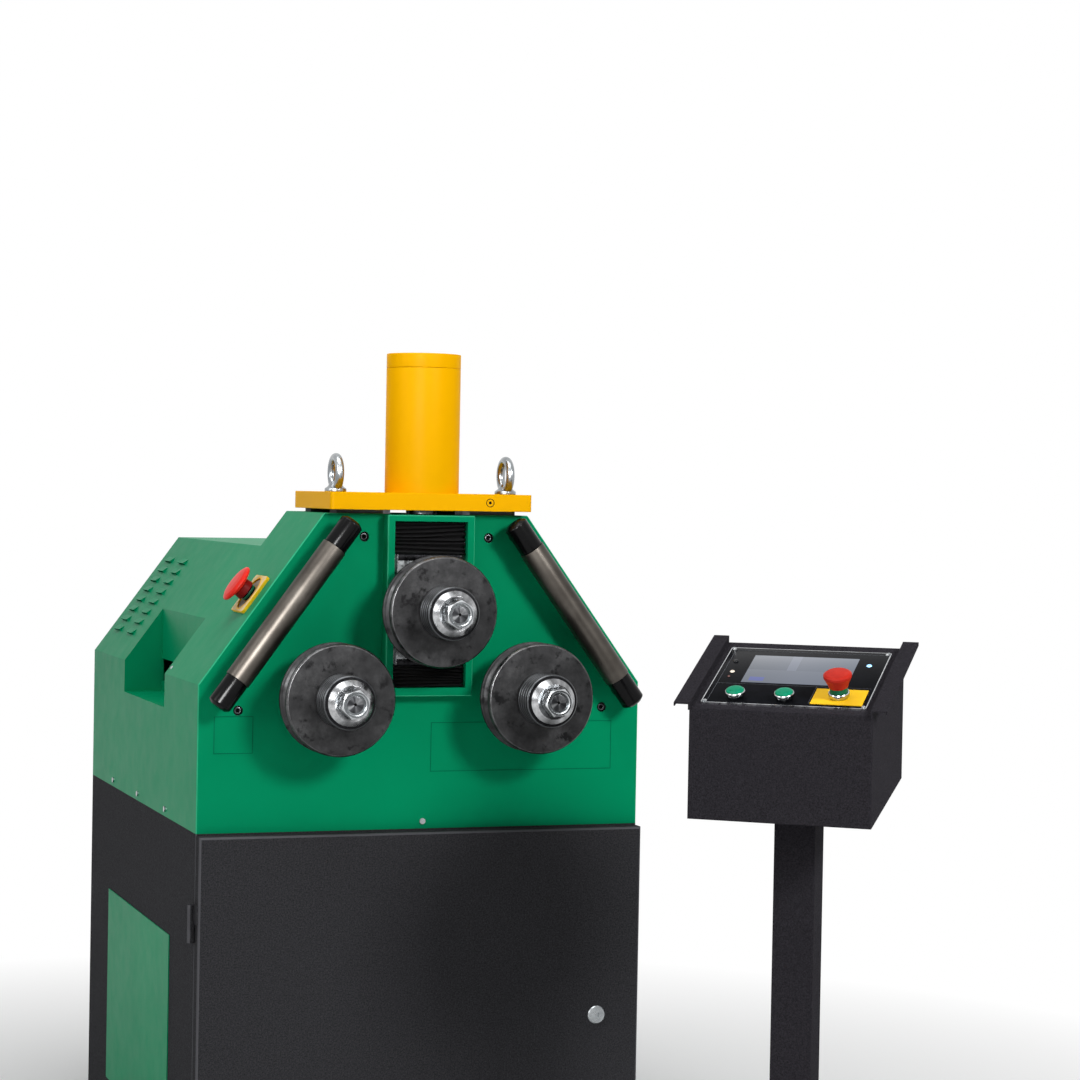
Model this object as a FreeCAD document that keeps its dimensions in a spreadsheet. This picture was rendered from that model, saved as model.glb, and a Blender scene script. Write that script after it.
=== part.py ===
"""Hydraulic ring roller: a three-roll machine for bending tube and sections, with its control console.

The row frame has its origin on the floor at the centre of the four floor anchors, +Z up and
the working side towards -Y. Sizes are millimetres. Heights above the lower cabinet are counted
from base_height, and depths behind the green front skin from its outer face.
"""

import FreeCAD, Part
import math
import os
import re

import Sketcher
from FreeCAD import Vector

# ---------------------------------------------------------------- driving dimensions
DIMS = {
    # lower cabinet and feet
    "body_width": 740, "body_depth": 900, "base_height": 640, "foot_height": 30,
    "cabinet_skin": 3, "cabinet_flange": 50, "deck_thickness": 6, "deck_margin": 60,
    "foot_plate_length": 110, "foot_plate_width": 90, "foot_plate_thickness": 10,
    "foot_inset": 60, "foot_reach": 40, "anchor_edge": 20, "anchor_radius": 7, "foot_post_radius": 25,
    "foot_post_inset": 30,
    "side_cover_front": 185, "side_cover_rear": 715, "side_cover_top": 452, "side_cover_bottom": 110,
    "side_cover_thickness": 1.5,
    # cabinet door, hinges and latch
    "door_depth": 25, "door_gap": 1, "door_side_gap": 0.3, "door_top_gap": 3, "door_skin": 2,
    "door_edge_radius": 5,
    "hinge_offset": 6, "hinge_radius": 6, "hinge_pin_radius": 3, "hinge_clearance": 0.05,
    "hinge_length": 60, "hinge_low": 110, "hinge_high": 470, "leaf_thickness": 2.2, "leaf_width": 26,
    "leaf_offset": 2, "leaf_overlap": 4, "knuckle_gap": 0.2, "latch_inset": 74, "latch_height": 330,
    "latch_stem_radius": 8,
    "latch_head_radius": 15, "latch_head": 3, "latch_head_edge": 1.5, "latch_head_gap": 0.1,
    "latch_cam_length": 44, "latch_cam_width": 16, "latch_cam_thickness": 3, "latch_cam_gap": 1,
    "latch_key": 7, "latch_key_depth": 2,
    # green hood
    "hood_skin": 3, "shoulder_height": 234, "slope_angle": 53.8, "nose_height": 506, "nose_depth": 243.6,
    "roof_height": 447.3, "hood_edge_radius": 2.5, "rear_cover_thickness": 3, "roof_opening_gap": 5,
    "vent_start": 240, "vent_half": 90, "vent_height": 6,
    "niche_front": 256, "niche_rear": 603, "niche_bottom": 178, "niche_depth": 67,
    "niche_port_length": 96, "niche_port_bottom": 197, "niche_port_top": 237,
    "louvre_start": 50.8, "louvre_pitch": 22.4, "louvre_length": 51, "louvre_width": 12,
    "louvre_lift": 5, "louvre_sheet": 1.6, "louvre_toe": 4, "louvre_column_rear": 72,
    "louvre_column_pitch": 118,
    # window and its raised rim
    "window_half": 60.9, "window_bottom": 228.4, "window_drop": 11.3, "rim_width": 12, "rim_proud": 25.5,
    "rim_bottom": 214.9, "rim_drop": 1.2, "rim_edge_radius": 2.5,
    # machine frame
    "bed_thickness": 20, "bed_margin": 60, "bed_depth": 630, "frame_inset": 11, "plate_start": 5,
    "front_plate_thickness": 40, "rear_plate_start": 165, "rear_plate_thickness": 35, "neck_step": 11,
    "neck_gap": 2, "frame_rise": 6.1, "guide_thickness": 12, "guide_clearance": 0.1, "tie_radius": 15,
    "tie_x": 255, "tie_x_high": 215, "tie_low": 70, "tie_high": 300,
    # yellow top plate, cylinder and lifting eyes
    "top_plate_half": 168.4, "top_plate_front": 28, "top_plate_rear": 202, "top_plate_thickness": 27.7,
    "top_plate_corner": 6, "top_plate_edge": 0.8, "port_plug_x": 97, "port_plug_radius": 7,
    "port_plug_depth": 6, "port_plug_sink": 1,
    "ram_y": 34, "barrel_radius": 60, "barrel_bore": 50, "barrel_length": 201, "cap_length": 23,
    "cap_spigot": 10, "cap_chamfer": 1.5, "rod_radius": 25, "rod_clearance": 0.05, "rod_foot_radius": 30,
    "rod_foot": 12, "piston_thickness": 32, "piston_rise": 60.2, "piston_clearance": 0.05,
    "port_radius": 12, "port_bore": 5, "port_reach": 12, "port_drop": 16, "line_radius": 5,
    "line_reach": 26, "line_bend": 20, "line_nut_radius": 8, "supply_x": 100, "supply_front": 105,
    "supply_pitch": 26, "supply_radius": 7, "supply_hole": 9, "supply_level": 300, "supply_bend": 42,
    "fitting_radius": 11, "fitting_length": 22,
    "plate_screw_radius": 6, "plate_screw_head": 12, "plate_screw_head_radius": 9,
    "plate_screw_sink": 1, "plate_screw_length": 46,
    "eye_x": 143.5, "eye_y": 36, "eye_ring_radius": 24.5, "eye_section_radius": 7, "eye_height": 62,
    "eye_collar_radius": 17.5, "eye_collar": 9, "eye_shank_radius": 8, "eye_shank": 20,
    # roll shafts
    "roll_span": 330, "lower_axis": 215.2, "top_axis_drop": 153.1, "roll_radius": 88.5, "roll_width": 50,
    "roll_standoff": 51.2, "tube_radius": 16.85, "groove_clearance": 0.45, "roll_bore": 25, "roll_edge": 2,
    "hub_radius": 42.5, "ring_width": 9.8, "ring_gap": 0.1, "ring_edge": 1.6, "flange_radius": 38.5,
    "flange_front_radius": 29, "flange_width": 12, "neck_groove": 3, "neck_radius": 19.5,
    "flange_rim": 3, "nut_flats": 41, "nut_width": 19, "nut_bevel": 30, "nut_recess_radius": 14.5,
    "nut_recess": 5, "thread_radius": 13.5, "thread_edge": 1.5, "thread_run": 2,
    "centre_hole": 3.2, "journal_radius": 30, "journal_clearance": 0.05, "bearing_radius": 50,
    "bearing_width": 25, "bearing_setback": 5, "seat_radius": 27.5, "skin_hole_gap": 3,
    "collar_gap": 4, "shaft_shoulder": 6, "seat_step": 4, "shaft_tail": 262, "top_shaft_tail": 203,
    # gears
    "gear_module": 5, "gear_teeth": 44, "pinion_teeth": 25, "gear_start": 212, "gear_width": 40,
    "gear_backlash": 0.35, "gear_hub_radius": 42, "gear_hub_rise": 4, "gear_rim": 20, "gear_web_recess": 12,
    "pinion_shaft_radius": 20, "pinion_shaft_front": 6, "pinion_shaft_sink": 24,
    # carriage
    "carriage_half_height": 88, "carriage_front": 14, "carriage_rear": 200, "nose_margin": 8,
    "carriage_waist": 54, "carriage_waist_margin": 8, "carriage_core_lip": 6,
    # bellows
    "bellows_front": 19, "bellows_rear": 5, "bellows_sheet": 1.8, "bellows_side_gap": 1,
    "bellows_end_gap": 0.3,
    # guide rollers
    "guide_inset": 36.9, "guide_offset": 40, "sleeve_margin": 78, "sleeve_radius": 21,
    "sleeve_bore": 10.05, "sleeve_core": 17, "sleeve_plug": 22, "sleeve_gap": 0.3, "sleeve_edge": 1,
    "end_length": 51.5,
    "end_radius": 19.5, "end_edge": 2.5, "axle_radius": 10, "axle_insert": 36, "post_radius": 11,
    "post_root": 4,
    # emergency stops
    "estop_x": 269, "estop_y": 75, "estop_plate_length": 70, "estop_plate_width": 78,
    "estop_plate_thickness": 5, "estop_corner": 6, "estop_recess_radius": 29, "estop_recess": 2.2,
    "collar_radius": 15, "collar_height": 8, "collar_edge": 1, "collar_bore": 7.3,
    "collar_stem_radius": 11, "collar_stem": 30, "collar_skirt_gap": 0.4,
    "stop_skirt_radius": 16.8, "stop_skirt": 13, "stop_pin_radius": 7.25,
    "mushroom_radius": 32, "mushroom_rim": 3.5, "stop_pin_sink": 15, "stop_pin_socket": 6,
    "mushroom_cone": 4, "mushroom_dome": 5,
    # console
    "console_x": 290.8, "console_y": 1184, "console_turn": 39.2, "console_floor": 728.6,
    "console_width": 263.4,
    "console_front": 156.9, "console_depth": 195.3, "console_rise": 53.6, "console_pitch": 23.1,
    "console_skin": 2, "console_edge_radius": 1.5, "rail_rise": 10, "rail_width": 21, "rail_lip": 5,
    "rail_overhang": 6,
    "column_width": 60, "column_depth": 50, "column_wall": 3, "column_setback": 97, "console_foot_half": 180,
    "console_foot_thickness": 8, "console_foot_corner": 20, "console_anchor_radius": 6,
    "console_anchor_circle": 440, "panel_half": 118.8, "panel_start": 14.3, "panel_length": 175.6,
    "panel_thickness": 3, "panel_corner": 3, "drill_reach": 20, "screen_half": 77, "screen_start": 79.8,
    "screen_length": 86,
    "screen_lift": 0.8, "panel_screw_inset": 4, "panel_screw_radius": 2.6, "panel_screw_head": 1.4,
    "button_row": 32, "button_left": 72, "button_middle": 1, "bezel_foot": 10.2, "bezel_radius": 14.3,
    "bezel_height": 11.4, "bezel_seat": 5, "bezel_seat_radius": 13, "bezel_bore": 8, "bezel_thread": 9.4,
    "bezel_sink": 16, "bezel_rim": 1, "bezel_edge": 0.7, "button_clearance": 0.05, "button_rest": 1.5,
    "button_skirt": 2, "button_dome": 3,
    "console_stop_x": 74.5, "console_stop_s": 44.5, "stop_plate_half": 37, "stop_plate_length": 47,
    "stop_plate_thickness": 1.2, "console_head_radius": 20, "console_head_neck": 13,
    "console_head_height": 31, "console_head_band": 8, "console_collar_height": 7.5,
    "console_collar_floor": 1.5, "console_collar_gap": 0.4, "lamp_radius": 4, "lamp_height": 2,
    "lamp_left_x": 102, "lamp_right_x": 95, "lamp_row": 146,
    # screws
    "frame_screw_x_high": 104.5, "frame_screw_drop": 37, "frame_screw_inset": 64.5,
    "frame_screw_z_low": 193, "frame_screw_radius": 5, "frame_screw_head_radius": 7.2,
    "frame_screw_head": 10, "frame_screw_length": 34, "frame_screw_hole": 8, "screw_sink": 2,
    "screw_socket": 6,
    "cover_screw_radius": 2.5, "cover_screw_head_radius": 4.8, "cover_screw_head": 2.6,
    "cover_screw_length": 9, "cover_screw_z": 12,
    # drive and hydraulics
    "gearbox_start": 262, "gearbox_length": 130, "gearbox_half": 92, "motor_radius": 78, "motor_length": 210,
    "motor_cap": 26, "motor_cap_step": 6, "gearbox_bore": 26, "terminal_start": 30, "terminal_length": 80,
    "terminal_half": 40, "terminal_sink": 12, "terminal_rise": 30,
    "tank_half": 170, "tank_length": 300, "tank_height": 230,
    "tank_x": 120, "tank_y": 90, "pump_radius": 62, "pump_height": 190,
    "filler_radius": 22, "filler_height": 36, "valve_face": -20, "valve_width": 80, "valve_height": 70,
    "valve_margin": 22, "case_wall": 3, "breather_radius": 2, "lid_step": 8, "lid_rim": 2,
    "gland_radius": 12, "box_half": 75, "box_height": 400,
    "box_length": 380, "box_x": 250, "box_y": 420,
}
RING_COUNT = 5
LOUVRE_ROWS = 8
VENT_ROWS = 6
UPPER_FOLDS = 8
LOWER_FOLDS = 5

# ---------------------------------------------------------------- derived sizes, as expressions
DERIVED = {
    "half_width": "body_width / 2",
    "front": "-body_depth / 2",
    "rear": "body_depth / 2",
    "shoulder_z": "base_height + shoulder_height",
    "nose_z": "base_height + nose_height",
    "roof_z": "base_height + roof_height",
    "nose_half": "half_width - (nose_height - shoulder_height) / tan(slope_angle)",
    "roof_half": "half_width - (roof_height - shoulder_height) / tan(slope_angle)",
    "nose_rear": "front + nose_depth",
    "hood_rear": "rear - rear_cover_thickness",
    "bed_top": "base_height + bed_thickness",
    "frame_top_z": "nose_z + frame_rise",
    "top_plate_z": "frame_top_z + top_plate_thickness",
    "plate_front": "front + plate_start",
    "plate_back": "plate_front + front_plate_thickness",
    "rear_plate_front": "front + rear_plate_start",
    "rear_plate_back": "rear_plate_front + rear_plate_thickness",
    "plate_half": "half_width - frame_inset",
    "plate_corner_z": "shoulder_z - frame_inset * (1 - sin(slope_angle)) / cos(slope_angle)",
    "plate_neck_z": "nose_z - hood_skin - neck_gap",
    "plate_shoulder_half": "half_width - (plate_neck_z - shoulder_z) / tan(slope_angle)"
                           " - frame_inset / sin(slope_angle)",
    "slot_half": "window_half + guide_thickness",
    "neck_half": "plate_shoulder_half - neck_step",
    "plate_screw_x": "(slot_half + neck_half) / 2",
    "roof_opening_half": "neck_half + roof_opening_gap",
    "window_low_z": "base_height + window_bottom",
    "window_high_z": "nose_z - window_drop",
    "lower_z": "base_height + lower_axis",
    "top_z": "nose_z - top_axis_drop",
    "roll_x": "roll_span / 2",
    "roll_back": "front - roll_standoff",
    "roll_face": "roll_back - roll_width",
    "ring_pitch": "ring_width + ring_gap",
    "stack_face": "roll_face - %d * ring_pitch" % RING_COUNT,
    "flange_face": "stack_face - flange_width",
    "nut_face": "flange_face - neck_groove - nut_width",
    "carriage_top": "top_z + carriage_half_height",
    "carriage_bottom": "top_z - carriage_half_height",
    "carriage_nose": "front - carriage_front",
    "carriage_tail": "front + carriage_rear",
    "ram_line": "front + ram_y",
    "barrel_top": "top_plate_z + barrel_length",
    "piston_z": "top_plate_z + piston_rise",
    "port_z": "barrel_top - port_drop",
    "port_face": "ram_line + barrel_radius + port_reach",
    "cabinet_floor": "foot_height + cabinet_skin",
    "tank_lid": "cabinet_floor + tank_height",
    "stop_seat": "estop_plate_thickness - estop_recess",
    "stop_skirt_low": "stop_seat + collar_height",
    "gear_face": "front + gear_start",
    "gear_back": "gear_face + gear_width",
    "gear_pitch_radius": "gear_module * gear_teeth / 2",
    "pinion_pitch_radius": "gear_module * pinion_teeth / 2",
    "pinion_drop": "sqrt(pow(gear_pitch_radius + pinion_pitch_radius; 2) - pow(roll_x; 2))",
    "pinion_z": "lower_z - pinion_drop",
    "gearbox_face": "front + gearbox_start",
    "gearbox_back": "gearbox_face + gearbox_length",
    "door_front": "front - door_gap - door_depth",
    "door_back": "front - door_gap",
    "door_top": "base_height - door_top_gap",
    "door_bottom": "foot_height + door_top_gap",
    "door_half": "half_width - door_side_gap",
    "hinge_x": "half_width + hinge_offset",
    "hinge_y": "front - door_gap",
    "niche_back": "half_width - niche_depth",
    "slope_length": "(nose_height - shoulder_height) / sin(slope_angle)",
    "sleeve_length": "slope_length - sleeve_margin",
    "bar_half": "sleeve_length / 2 + end_length",
    "bed_half": "half_width - bed_margin",
    "latch_side": "half_width - latch_inset",
}

doc = FreeCAD.newDocument("ring_roller")
sheet = doc.addObject("Spreadsheet::Sheet", "Dims")
for row, (alias, size) in enumerate(DIMS.items(), start=1):
    sheet.set("A%d" % row, alias)
    sheet.set("B%d" % row, str(size))
    sheet.setAlias("B%d" % row, alias)
doc.recompute()


# ---------------------------------------------------------------- expressions and sketches
def expand(text):
    """Writes an expression with sheet aliases and derived names in FreeCAD's own form."""
    def swap(match):
        word = match.group(0)
        if word in DERIVED:
            return "(" + expand(DERIVED[word]) + ")"
        return "Dims." + word if word in DIMS else word
    return re.sub(r"[a-z_]+", swap, str(text))


def number(text):
    """The present value of an expression."""
    return float(sheet.evalExpression(expand(text)))


def pin(sketch, geometry, end, across, up):
    """Holds one end of a line, or a centre, at a place given by two expressions."""
    for kind, axis, text in (("DistanceX", -2, across), ("DistanceY", -1, up)):
        if text == "0":
            sketch.addConstraint(Sketcher.Constraint("PointOnObject", geometry, end, axis))
            continue
        held = Sketcher.Constraint(kind, -1, 1, geometry, end, number(text))
        index = sketch.addConstraint(held)
        sketch.setExpression("Constraints[%d]" % index, expand(text))


def draw_polygon(sketch, corners):
    places = [Vector(number(across), number(up), 0) for across, up in corners]
    first = sketch.GeometryCount
    for start, end in zip(places, places[1:] + places[:1]):
        sketch.addGeometry(Part.LineSegment(start, end), False)
    for index, (across, up) in enumerate(corners):
        following = first + (index + 1) % len(corners)
        sketch.addConstraint(Sketcher.Constraint("Coincident", first + index, 2, following, 1))
        pin(sketch, first + index, 1, across, up)


def draw_path(sketch, first_run, last_run):
    """Two straight runs along the sketch's axes, as (start, end) pairs, and the quarter bend between."""
    for index, run in enumerate((first_run, last_run)):
        start, end = [Vector(number(across), number(up), 0) for across, up in run]
        sketch.addGeometry(Part.LineSegment(start, end), False)
        pin(sketch, index, 1, *run[0])
        pin(sketch, index, 2, *run[1])
    before, after = [sketch.Geometry[index] for index in (0, 1)]
    upright = abs(before.EndPoint.x - before.StartPoint.x) < 1e-6
    hub_across, hub_up = (last_run[0][0], first_run[1][1]) if upright else (first_run[1][0], last_run[0][1])
    hub = Vector(number(hub_across), number(hub_up), 0)
    arrive, leave = before.EndPoint - hub, after.StartPoint - hub
    first_angle, last_angle = math.atan2(arrive.y, arrive.x), math.atan2(leave.y, leave.x)
    near = 1 if (last_angle - first_angle) % (2 * math.pi) < math.pi else 2
    angles = (first_angle, last_angle) if near == 1 else (last_angle, first_angle)
    round_end = Part.Circle(hub, Vector(0, 0, 1), arrive.Length)
    bend = sketch.addGeometry(Part.ArcOfCircle(round_end, *angles), False)
    sketch.addConstraint(Sketcher.Constraint("Coincident", 0, 2, bend, near))
    sketch.addConstraint(Sketcher.Constraint("Coincident", bend, 3 - near, 1, 1))
    held = sketch.addConstraint(Sketcher.Constraint("DistanceX", -1, 1, bend, 3, hub.x))
    sketch.setExpression("Constraints[%d]" % held, expand(hub_across))


def draw_circle(sketch, across, up, radius):
    centre = Vector(number(across), number(up), 0)
    index = sketch.addGeometry(Part.Circle(centre, Vector(0, 0, 1), number(radius)), False)
    pin(sketch, index, 3, across, up)
    size = sketch.addConstraint(Sketcher.Constraint("Radius", index, number(radius)))
    sketch.setExpression("Constraints[%d]" % size, expand(radius))


def draw(sketch, loops):
    for loop in loops:
        if loop[0] == "circle":
            draw_circle(sketch, *loop[1:])
        else:
            draw_polygon(sketch, loop[1])


def circle(across, up, radius):
    return ("circle", across, up, radius)


def polygon(corners):
    return ("polygon", corners)


def rectangle(left, right, low, high):
    return polygon([(left, low), (right, low), (right, high), (left, high)])


def mirrored(loop):
    """The same loop on the other side of the vertical axis."""
    if loop[0] == "circle":
        return circle("-(%s)" % loop[1], loop[2], loop[3])
    return polygon([("-(%s)" % across if across != "0" else "0", up) for across, up in loop[1]])


# ---------------------------------------------------------------- part design helpers
def new_body(name):
    body = doc.addObject("PartDesign::Body", name)
    body.Label = name
    body.AllowCompound = True
    return body


def new_sketch(body, name, plane, level):
    """A sketch parallel to an origin plane: XY at height z, XZ at depth y, YZ at side x."""
    sketch = body.newObject("Sketcher::SketchObject", name)
    role = plane + "_Plane"
    base = [feature for feature in body.Origin.OriginFeatures if feature.Role == role][0]
    sketch.AttachmentSupport = [(base, "")]
    sketch.MapMode = "FlatFace"
    if level != "0":
        offset = "-(%s)" % level if plane == "XZ" else level
        sketch.AttachmentOffset = FreeCAD.Placement(Vector(0, 0, number(offset)), FreeCAD.Rotation())
        sketch.setExpression("AttachmentOffset.Base.z", expand(offset))
    return sketch


def sized(feature, sketch, low, high):
    feature.Profile = sketch
    span = "(%s) - (%s)" % (high, low)
    feature.Length = number(span)
    feature.setExpression("Length", expand(span))
    return feature


def pad(body, name, plane, low, high, loops):
    """Adds the loops' area between two levels along the plane's normal axis of the row."""
    sketch = new_sketch(body, name + "_sketch", plane, high if plane == "XZ" else low)
    draw(sketch, loops)
    return sized(body.newObject("PartDesign::Pad", name), sketch, low, high)


def pocket(body, name, plane, low, high, loops):
    """Removes the loops' area between two levels along the plane's normal axis of the row."""
    sketch = new_sketch(body, name + "_sketch", plane, low if plane == "XZ" else high)
    draw(sketch, loops)
    return sized(body.newObject("PartDesign::Pocket", name), sketch, low, high)


def turn(body, name, loops, kind="PartDesign::Revolution"):
    """Turns a section of (radius, axial) points about the body's own Z axis."""
    sketch = new_sketch(body, name + "_sketch", "XZ", "0")
    draw(sketch, loops)
    feature = body.newObject(kind, name)
    feature.Profile = sketch
    feature.ReferenceAxis = (sketch, ["V_Axis"])
    feature.Angle = 360
    return feature


def pipe(body, name, profile, route):
    """Sweeps a profile (plane, level, loop) along a bent route (plane, level, first run, last run)."""
    section = new_sketch(body, name + "_section", profile[0], profile[1])
    draw(section, [profile[2]])
    path = new_sketch(body, name + "_path", route[0], route[1])
    draw_path(path, *route[2:])
    feature = body.newObject("PartDesign::AdditivePipe", name)
    feature.Profile = section
    feature.Spine = path
    return feature


def edge_names(feature, wanted):
    return ["Edge%d" % (index + 1) for index, edge in enumerate(feature.Shape.Edges) if wanted(edge)]


def dress(body, name, kind, size, wanted):
    """Rounds or bevels the wanted edges of the body's last feature."""
    doc.recompute()
    base = body.Tip
    feature = body.newObject("PartDesign::" + kind, name)
    feature.Base = (base, edge_names(base, wanted))
    prop = "Radius" if kind == "Fillet" else "Size"
    setattr(feature, prop, number(size))
    feature.setExpression(prop, expand(size))
    return feature


def along(direction):
    """True for straight edges that run along a row axis."""
    def wanted(edge):
        if edge.Curve.TypeId != "Part::GeomLine":
            return False
        return abs(abs(edge.tangentAt(edge.FirstParameter).dot(direction)) - 1) < 1e-6
    return wanted


def in_plane(axis, level):
    """True for edges that lie wholly at a level of x, y or z."""
    place = number(level)

    def wanted(edge):
        box = edge.BoundBox
        low, high = getattr(box, axis.upper() + "Min"), getattr(box, axis.upper() + "Max")
        return abs(low - place) < 1e-4 and abs(high - place) < 1e-4
    return wanted


def both(first, second):
    return lambda edge: first(edge) and second(edge)


def place(thing, expression):
    """Sets an object's Placement by an expression, so that it follows the sheet."""
    thing.setExpression("Placement", expand(expression))


def shaft_place(across, up):
    """Local Z becomes the row's +Y, on an axis at x and z."""
    return "placement(vector(%s; 0; %s); rotationx(-90))" % (across, up)


def slope_place(along_y):
    """Local Z becomes the outward normal of the left slope at the emergency stop."""
    height = "shoulder_z + (half_width - estop_x) * tan(slope_angle)"
    return "placement(vector(-estop_x; %s; %s); rotationy(-slope_angle))" % (along_y, height)


CONSOLE = "placement(vector(console_x; -console_y; 0); rotationz(-console_turn))"
PANEL = CONSOLE + " * placement(vector(0; 0; console_floor + console_front); rotationx(console_pitch))"


def group(name, members):
    """One node that holds several separate solids."""
    compound = doc.addObject("Part::Compound", name)
    compound.Links = members
    compound.Label = name
    return compound


def mirror_x(name, source):
    """The same piece on the other side of the machine's centre plane."""
    twin = doc.addObject("Part::Mirroring", name)
    twin.Source = source
    twin.Normal = Vector(1, 0, 0)
    twin.Label = name
    return twin


NODES = []


def node(thing):
    NODES.append(thing)
    return thing


# ---------------------------------------------------------------- lower cabinet
def make_base_cabinet():
    body = new_body("base_cabinet")
    pad(body, "case", "XY", "foot_height", "base_height",
        [rectangle("-half_width", "half_width", "front", "rear")])
    pocket(body, "cavity", "XZ", "front + cabinet_skin", "rear - cabinet_skin",
           [rectangle("-(half_width - cabinet_skin)", "half_width - cabinet_skin",
                      "foot_height + cabinet_skin", "base_height - deck_thickness")])
    pocket(body, "doorway", "XZ", "front", "front + cabinet_skin",
           [rectangle("-(half_width - cabinet_flange)", "half_width - cabinet_flange",
                      "foot_height + cabinet_flange", "base_height - cabinet_flange")])
    pocket(body, "deck_openings", "XY", "base_height - deck_thickness", "base_height",
           [rectangle("-tank_half", "tank_half", "bed_front + bed_depth + deck_margin",
                      "rear - deck_margin")] + supply_loops("supply_hole"))
    dress(body, "corner_bends", "Fillet", "cabinet_skin - 0.5",
          both(along(Vector(0, 0, 1)), lambda edge: edge.BoundBox.YMax < number("front + 0.1")
               and abs(edge.BoundBox.XMax) > number("half_width - 0.1")))
    return body


def make_anchor_feet():
    """Foot plates that reach out from under the cabinet, each with a post and an anchor hole."""
    body = new_body("anchor_feet")
    edge_x = "half_width + foot_reach"
    plates, posts = [], []
    for low, high, middle in (("front + foot_inset", "front + foot_inset + foot_plate_width",
                               "front + foot_inset + foot_plate_width / 2"),
                              ("rear - foot_inset - foot_plate_width", "rear - foot_inset",
                               "rear - foot_inset - foot_plate_width / 2")):
        sheet_loops = [rectangle("half_width + foot_reach - foot_plate_length", edge_x, low, high),
                       circle("half_width + foot_reach - anchor_edge", middle, "anchor_radius")]
        plates += sheet_loops + [mirrored(loop) for loop in sheet_loops]
        post = circle("half_width + foot_reach - foot_plate_length + foot_post_inset", middle,
                      "foot_post_radius")
        posts += [post, mirrored(post)]
    pad(body, "plates", "XY", "0", "foot_plate_thickness", plates)
    pad(body, "posts", "XY", "foot_plate_thickness", "foot_height", posts)
    return body


def make_side_cover():
    body = new_body("side_cover")
    pad(body, "sheet", "YZ", "-half_width - side_cover_thickness", "-half_width",
        [rectangle("front + side_cover_front", "front + side_cover_rear",
                   "side_cover_bottom", "side_cover_top")])
    return body


def hinge_levels(step):
    """Low and high of the fixed (0) or the door's (1) knuckle of each hinge."""
    half = "hinge_length / 2"
    for low in ("hinge_low", "hinge_high"):
        if step == 0:
            yield low, "%s + %s - knuckle_gap / 2" % (low, half)
        else:
            yield "%s + %s + knuckle_gap / 2" % (low, half), "%s + hinge_length" % low


def make_door_hinges():
    """Fixed knuckles with their pins, on leaves that lie against the cabinet's left side."""
    body = new_body("door_hinges")
    for index, (low, high) in enumerate(hinge_levels(0)):
        pad(body, "knuckle_%d" % index, "XY", low, high, [circle("-hinge_x", "hinge_y", "hinge_radius")])
        pad(body, "leaf_%d" % index, "XY", low, high,
            [rectangle("-half_width - leaf_thickness", "-half_width", "hinge_y", "hinge_y + leaf_width")])
        pad(body, "arm_%d" % index, "XY", low, high,
            [rectangle("-hinge_x", "-half_width - leaf_thickness", "hinge_y + leaf_offset",
                       "hinge_y + leaf_offset + leaf_thickness")])
        pin_high = "%s + hinge_length / 2" % high
        pad(body, "pin_%d" % index, "XY", high, pin_high,
            [circle("-hinge_x", "hinge_y", "hinge_pin_radius")])
    return body


def make_cabinet_door():
    """A folded pan that closes the doorway, with the door's half of each hinge."""
    body = new_body("cabinet_door")
    pad(body, "pan", "XZ", "door_front", "door_back",
        [rectangle("-door_half", "door_half", "door_bottom", "door_top")])
    dress(body, "front_edges", "Fillet", "door_edge_radius", in_plane("y", "door_front"))
    inner = "door_half - door_skin"
    pocket(body, "hollow", "XZ", "door_front + door_skin", "door_back",
           [rectangle("-(%s)" % inner, inner, "door_bottom + door_skin", "door_top - door_skin")])
    pocket(body, "latch_hole", "XZ", "door_front", "door_front + door_skin",
           [circle("latch_side", "latch_height", "latch_stem_radius + hinge_clearance")])
    for index, (low, high) in enumerate(hinge_levels(1)):
        pad(body, "knuckle_%d" % index, "XY", low, high,
            [circle("-hinge_x", "hinge_y", "hinge_radius")])
        pad(body, "leaf_%d" % index, "XY", low, high,
            [rectangle("-door_half - leaf_thickness", "-door_half",
                       "door_back - leaf_width + leaf_overlap", "hinge_y")])
        pocket(body, "pin_hole_%d" % index, "XY", low, high,
               [circle("-hinge_x", "hinge_y", "hinge_pin_radius + hinge_clearance")])
    return body


def make_door_latch():
    """A quarter-turn lock: head, stem through the door and a cam that turns behind the flange."""
    body = new_body("door_latch")
    head = "-latch_head"
    cam = "door_depth + door_gap + cabinet_skin + latch_cam_gap"
    turn(body, "stem", [polygon([("0", head), ("latch_head_radius - latch_head_edge", head),
                                 ("latch_head_radius", "-latch_head + latch_head_edge"),
                                 ("latch_head_radius", "-latch_head_gap"),
                                 ("latch_stem_radius", "-latch_head_gap"),
                                 ("latch_stem_radius", cam + " + latch_cam_thickness"),
                                 ("0", cam + " + latch_cam_thickness")])])
    pad(body, "cam", "XY", cam, cam + " + latch_cam_thickness",
        [rectangle("-latch_cam_width / 2", "latch_cam_width / 2", "-latch_stem_radius / 4",
                   "latch_cam_length")])
    pocket(body, "key_square", "XY", "-latch_head", "-latch_head + latch_key_depth",
           [rectangle("-latch_key / 2", "latch_key / 2", "-latch_key / 2", "latch_key / 2")])
    place(body, "placement(vector(latch_side; door_front; latch_height); rotationx(-90))")
    return body


# ---------------------------------------------------------------- green hood
def slope_point(run, lift):
    """A point on the left slope's section: run up along it from the shoulder, lift outwards."""
    across = "-half_width + (%s) * cos(slope_angle) - (%s) * sin(slope_angle)" % (run, lift)
    up = "shoulder_z + (%s) * sin(slope_angle) + (%s) * cos(slope_angle)" % (run, lift)
    return across, up


def hood_section(top, top_half):
    return [("-half_width", "base_height"), ("half_width", "base_height"), ("half_width", "shoulder_z"),
            (top_half, top), ("-" + top_half, top), ("-half_width", "shoulder_z")]


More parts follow.
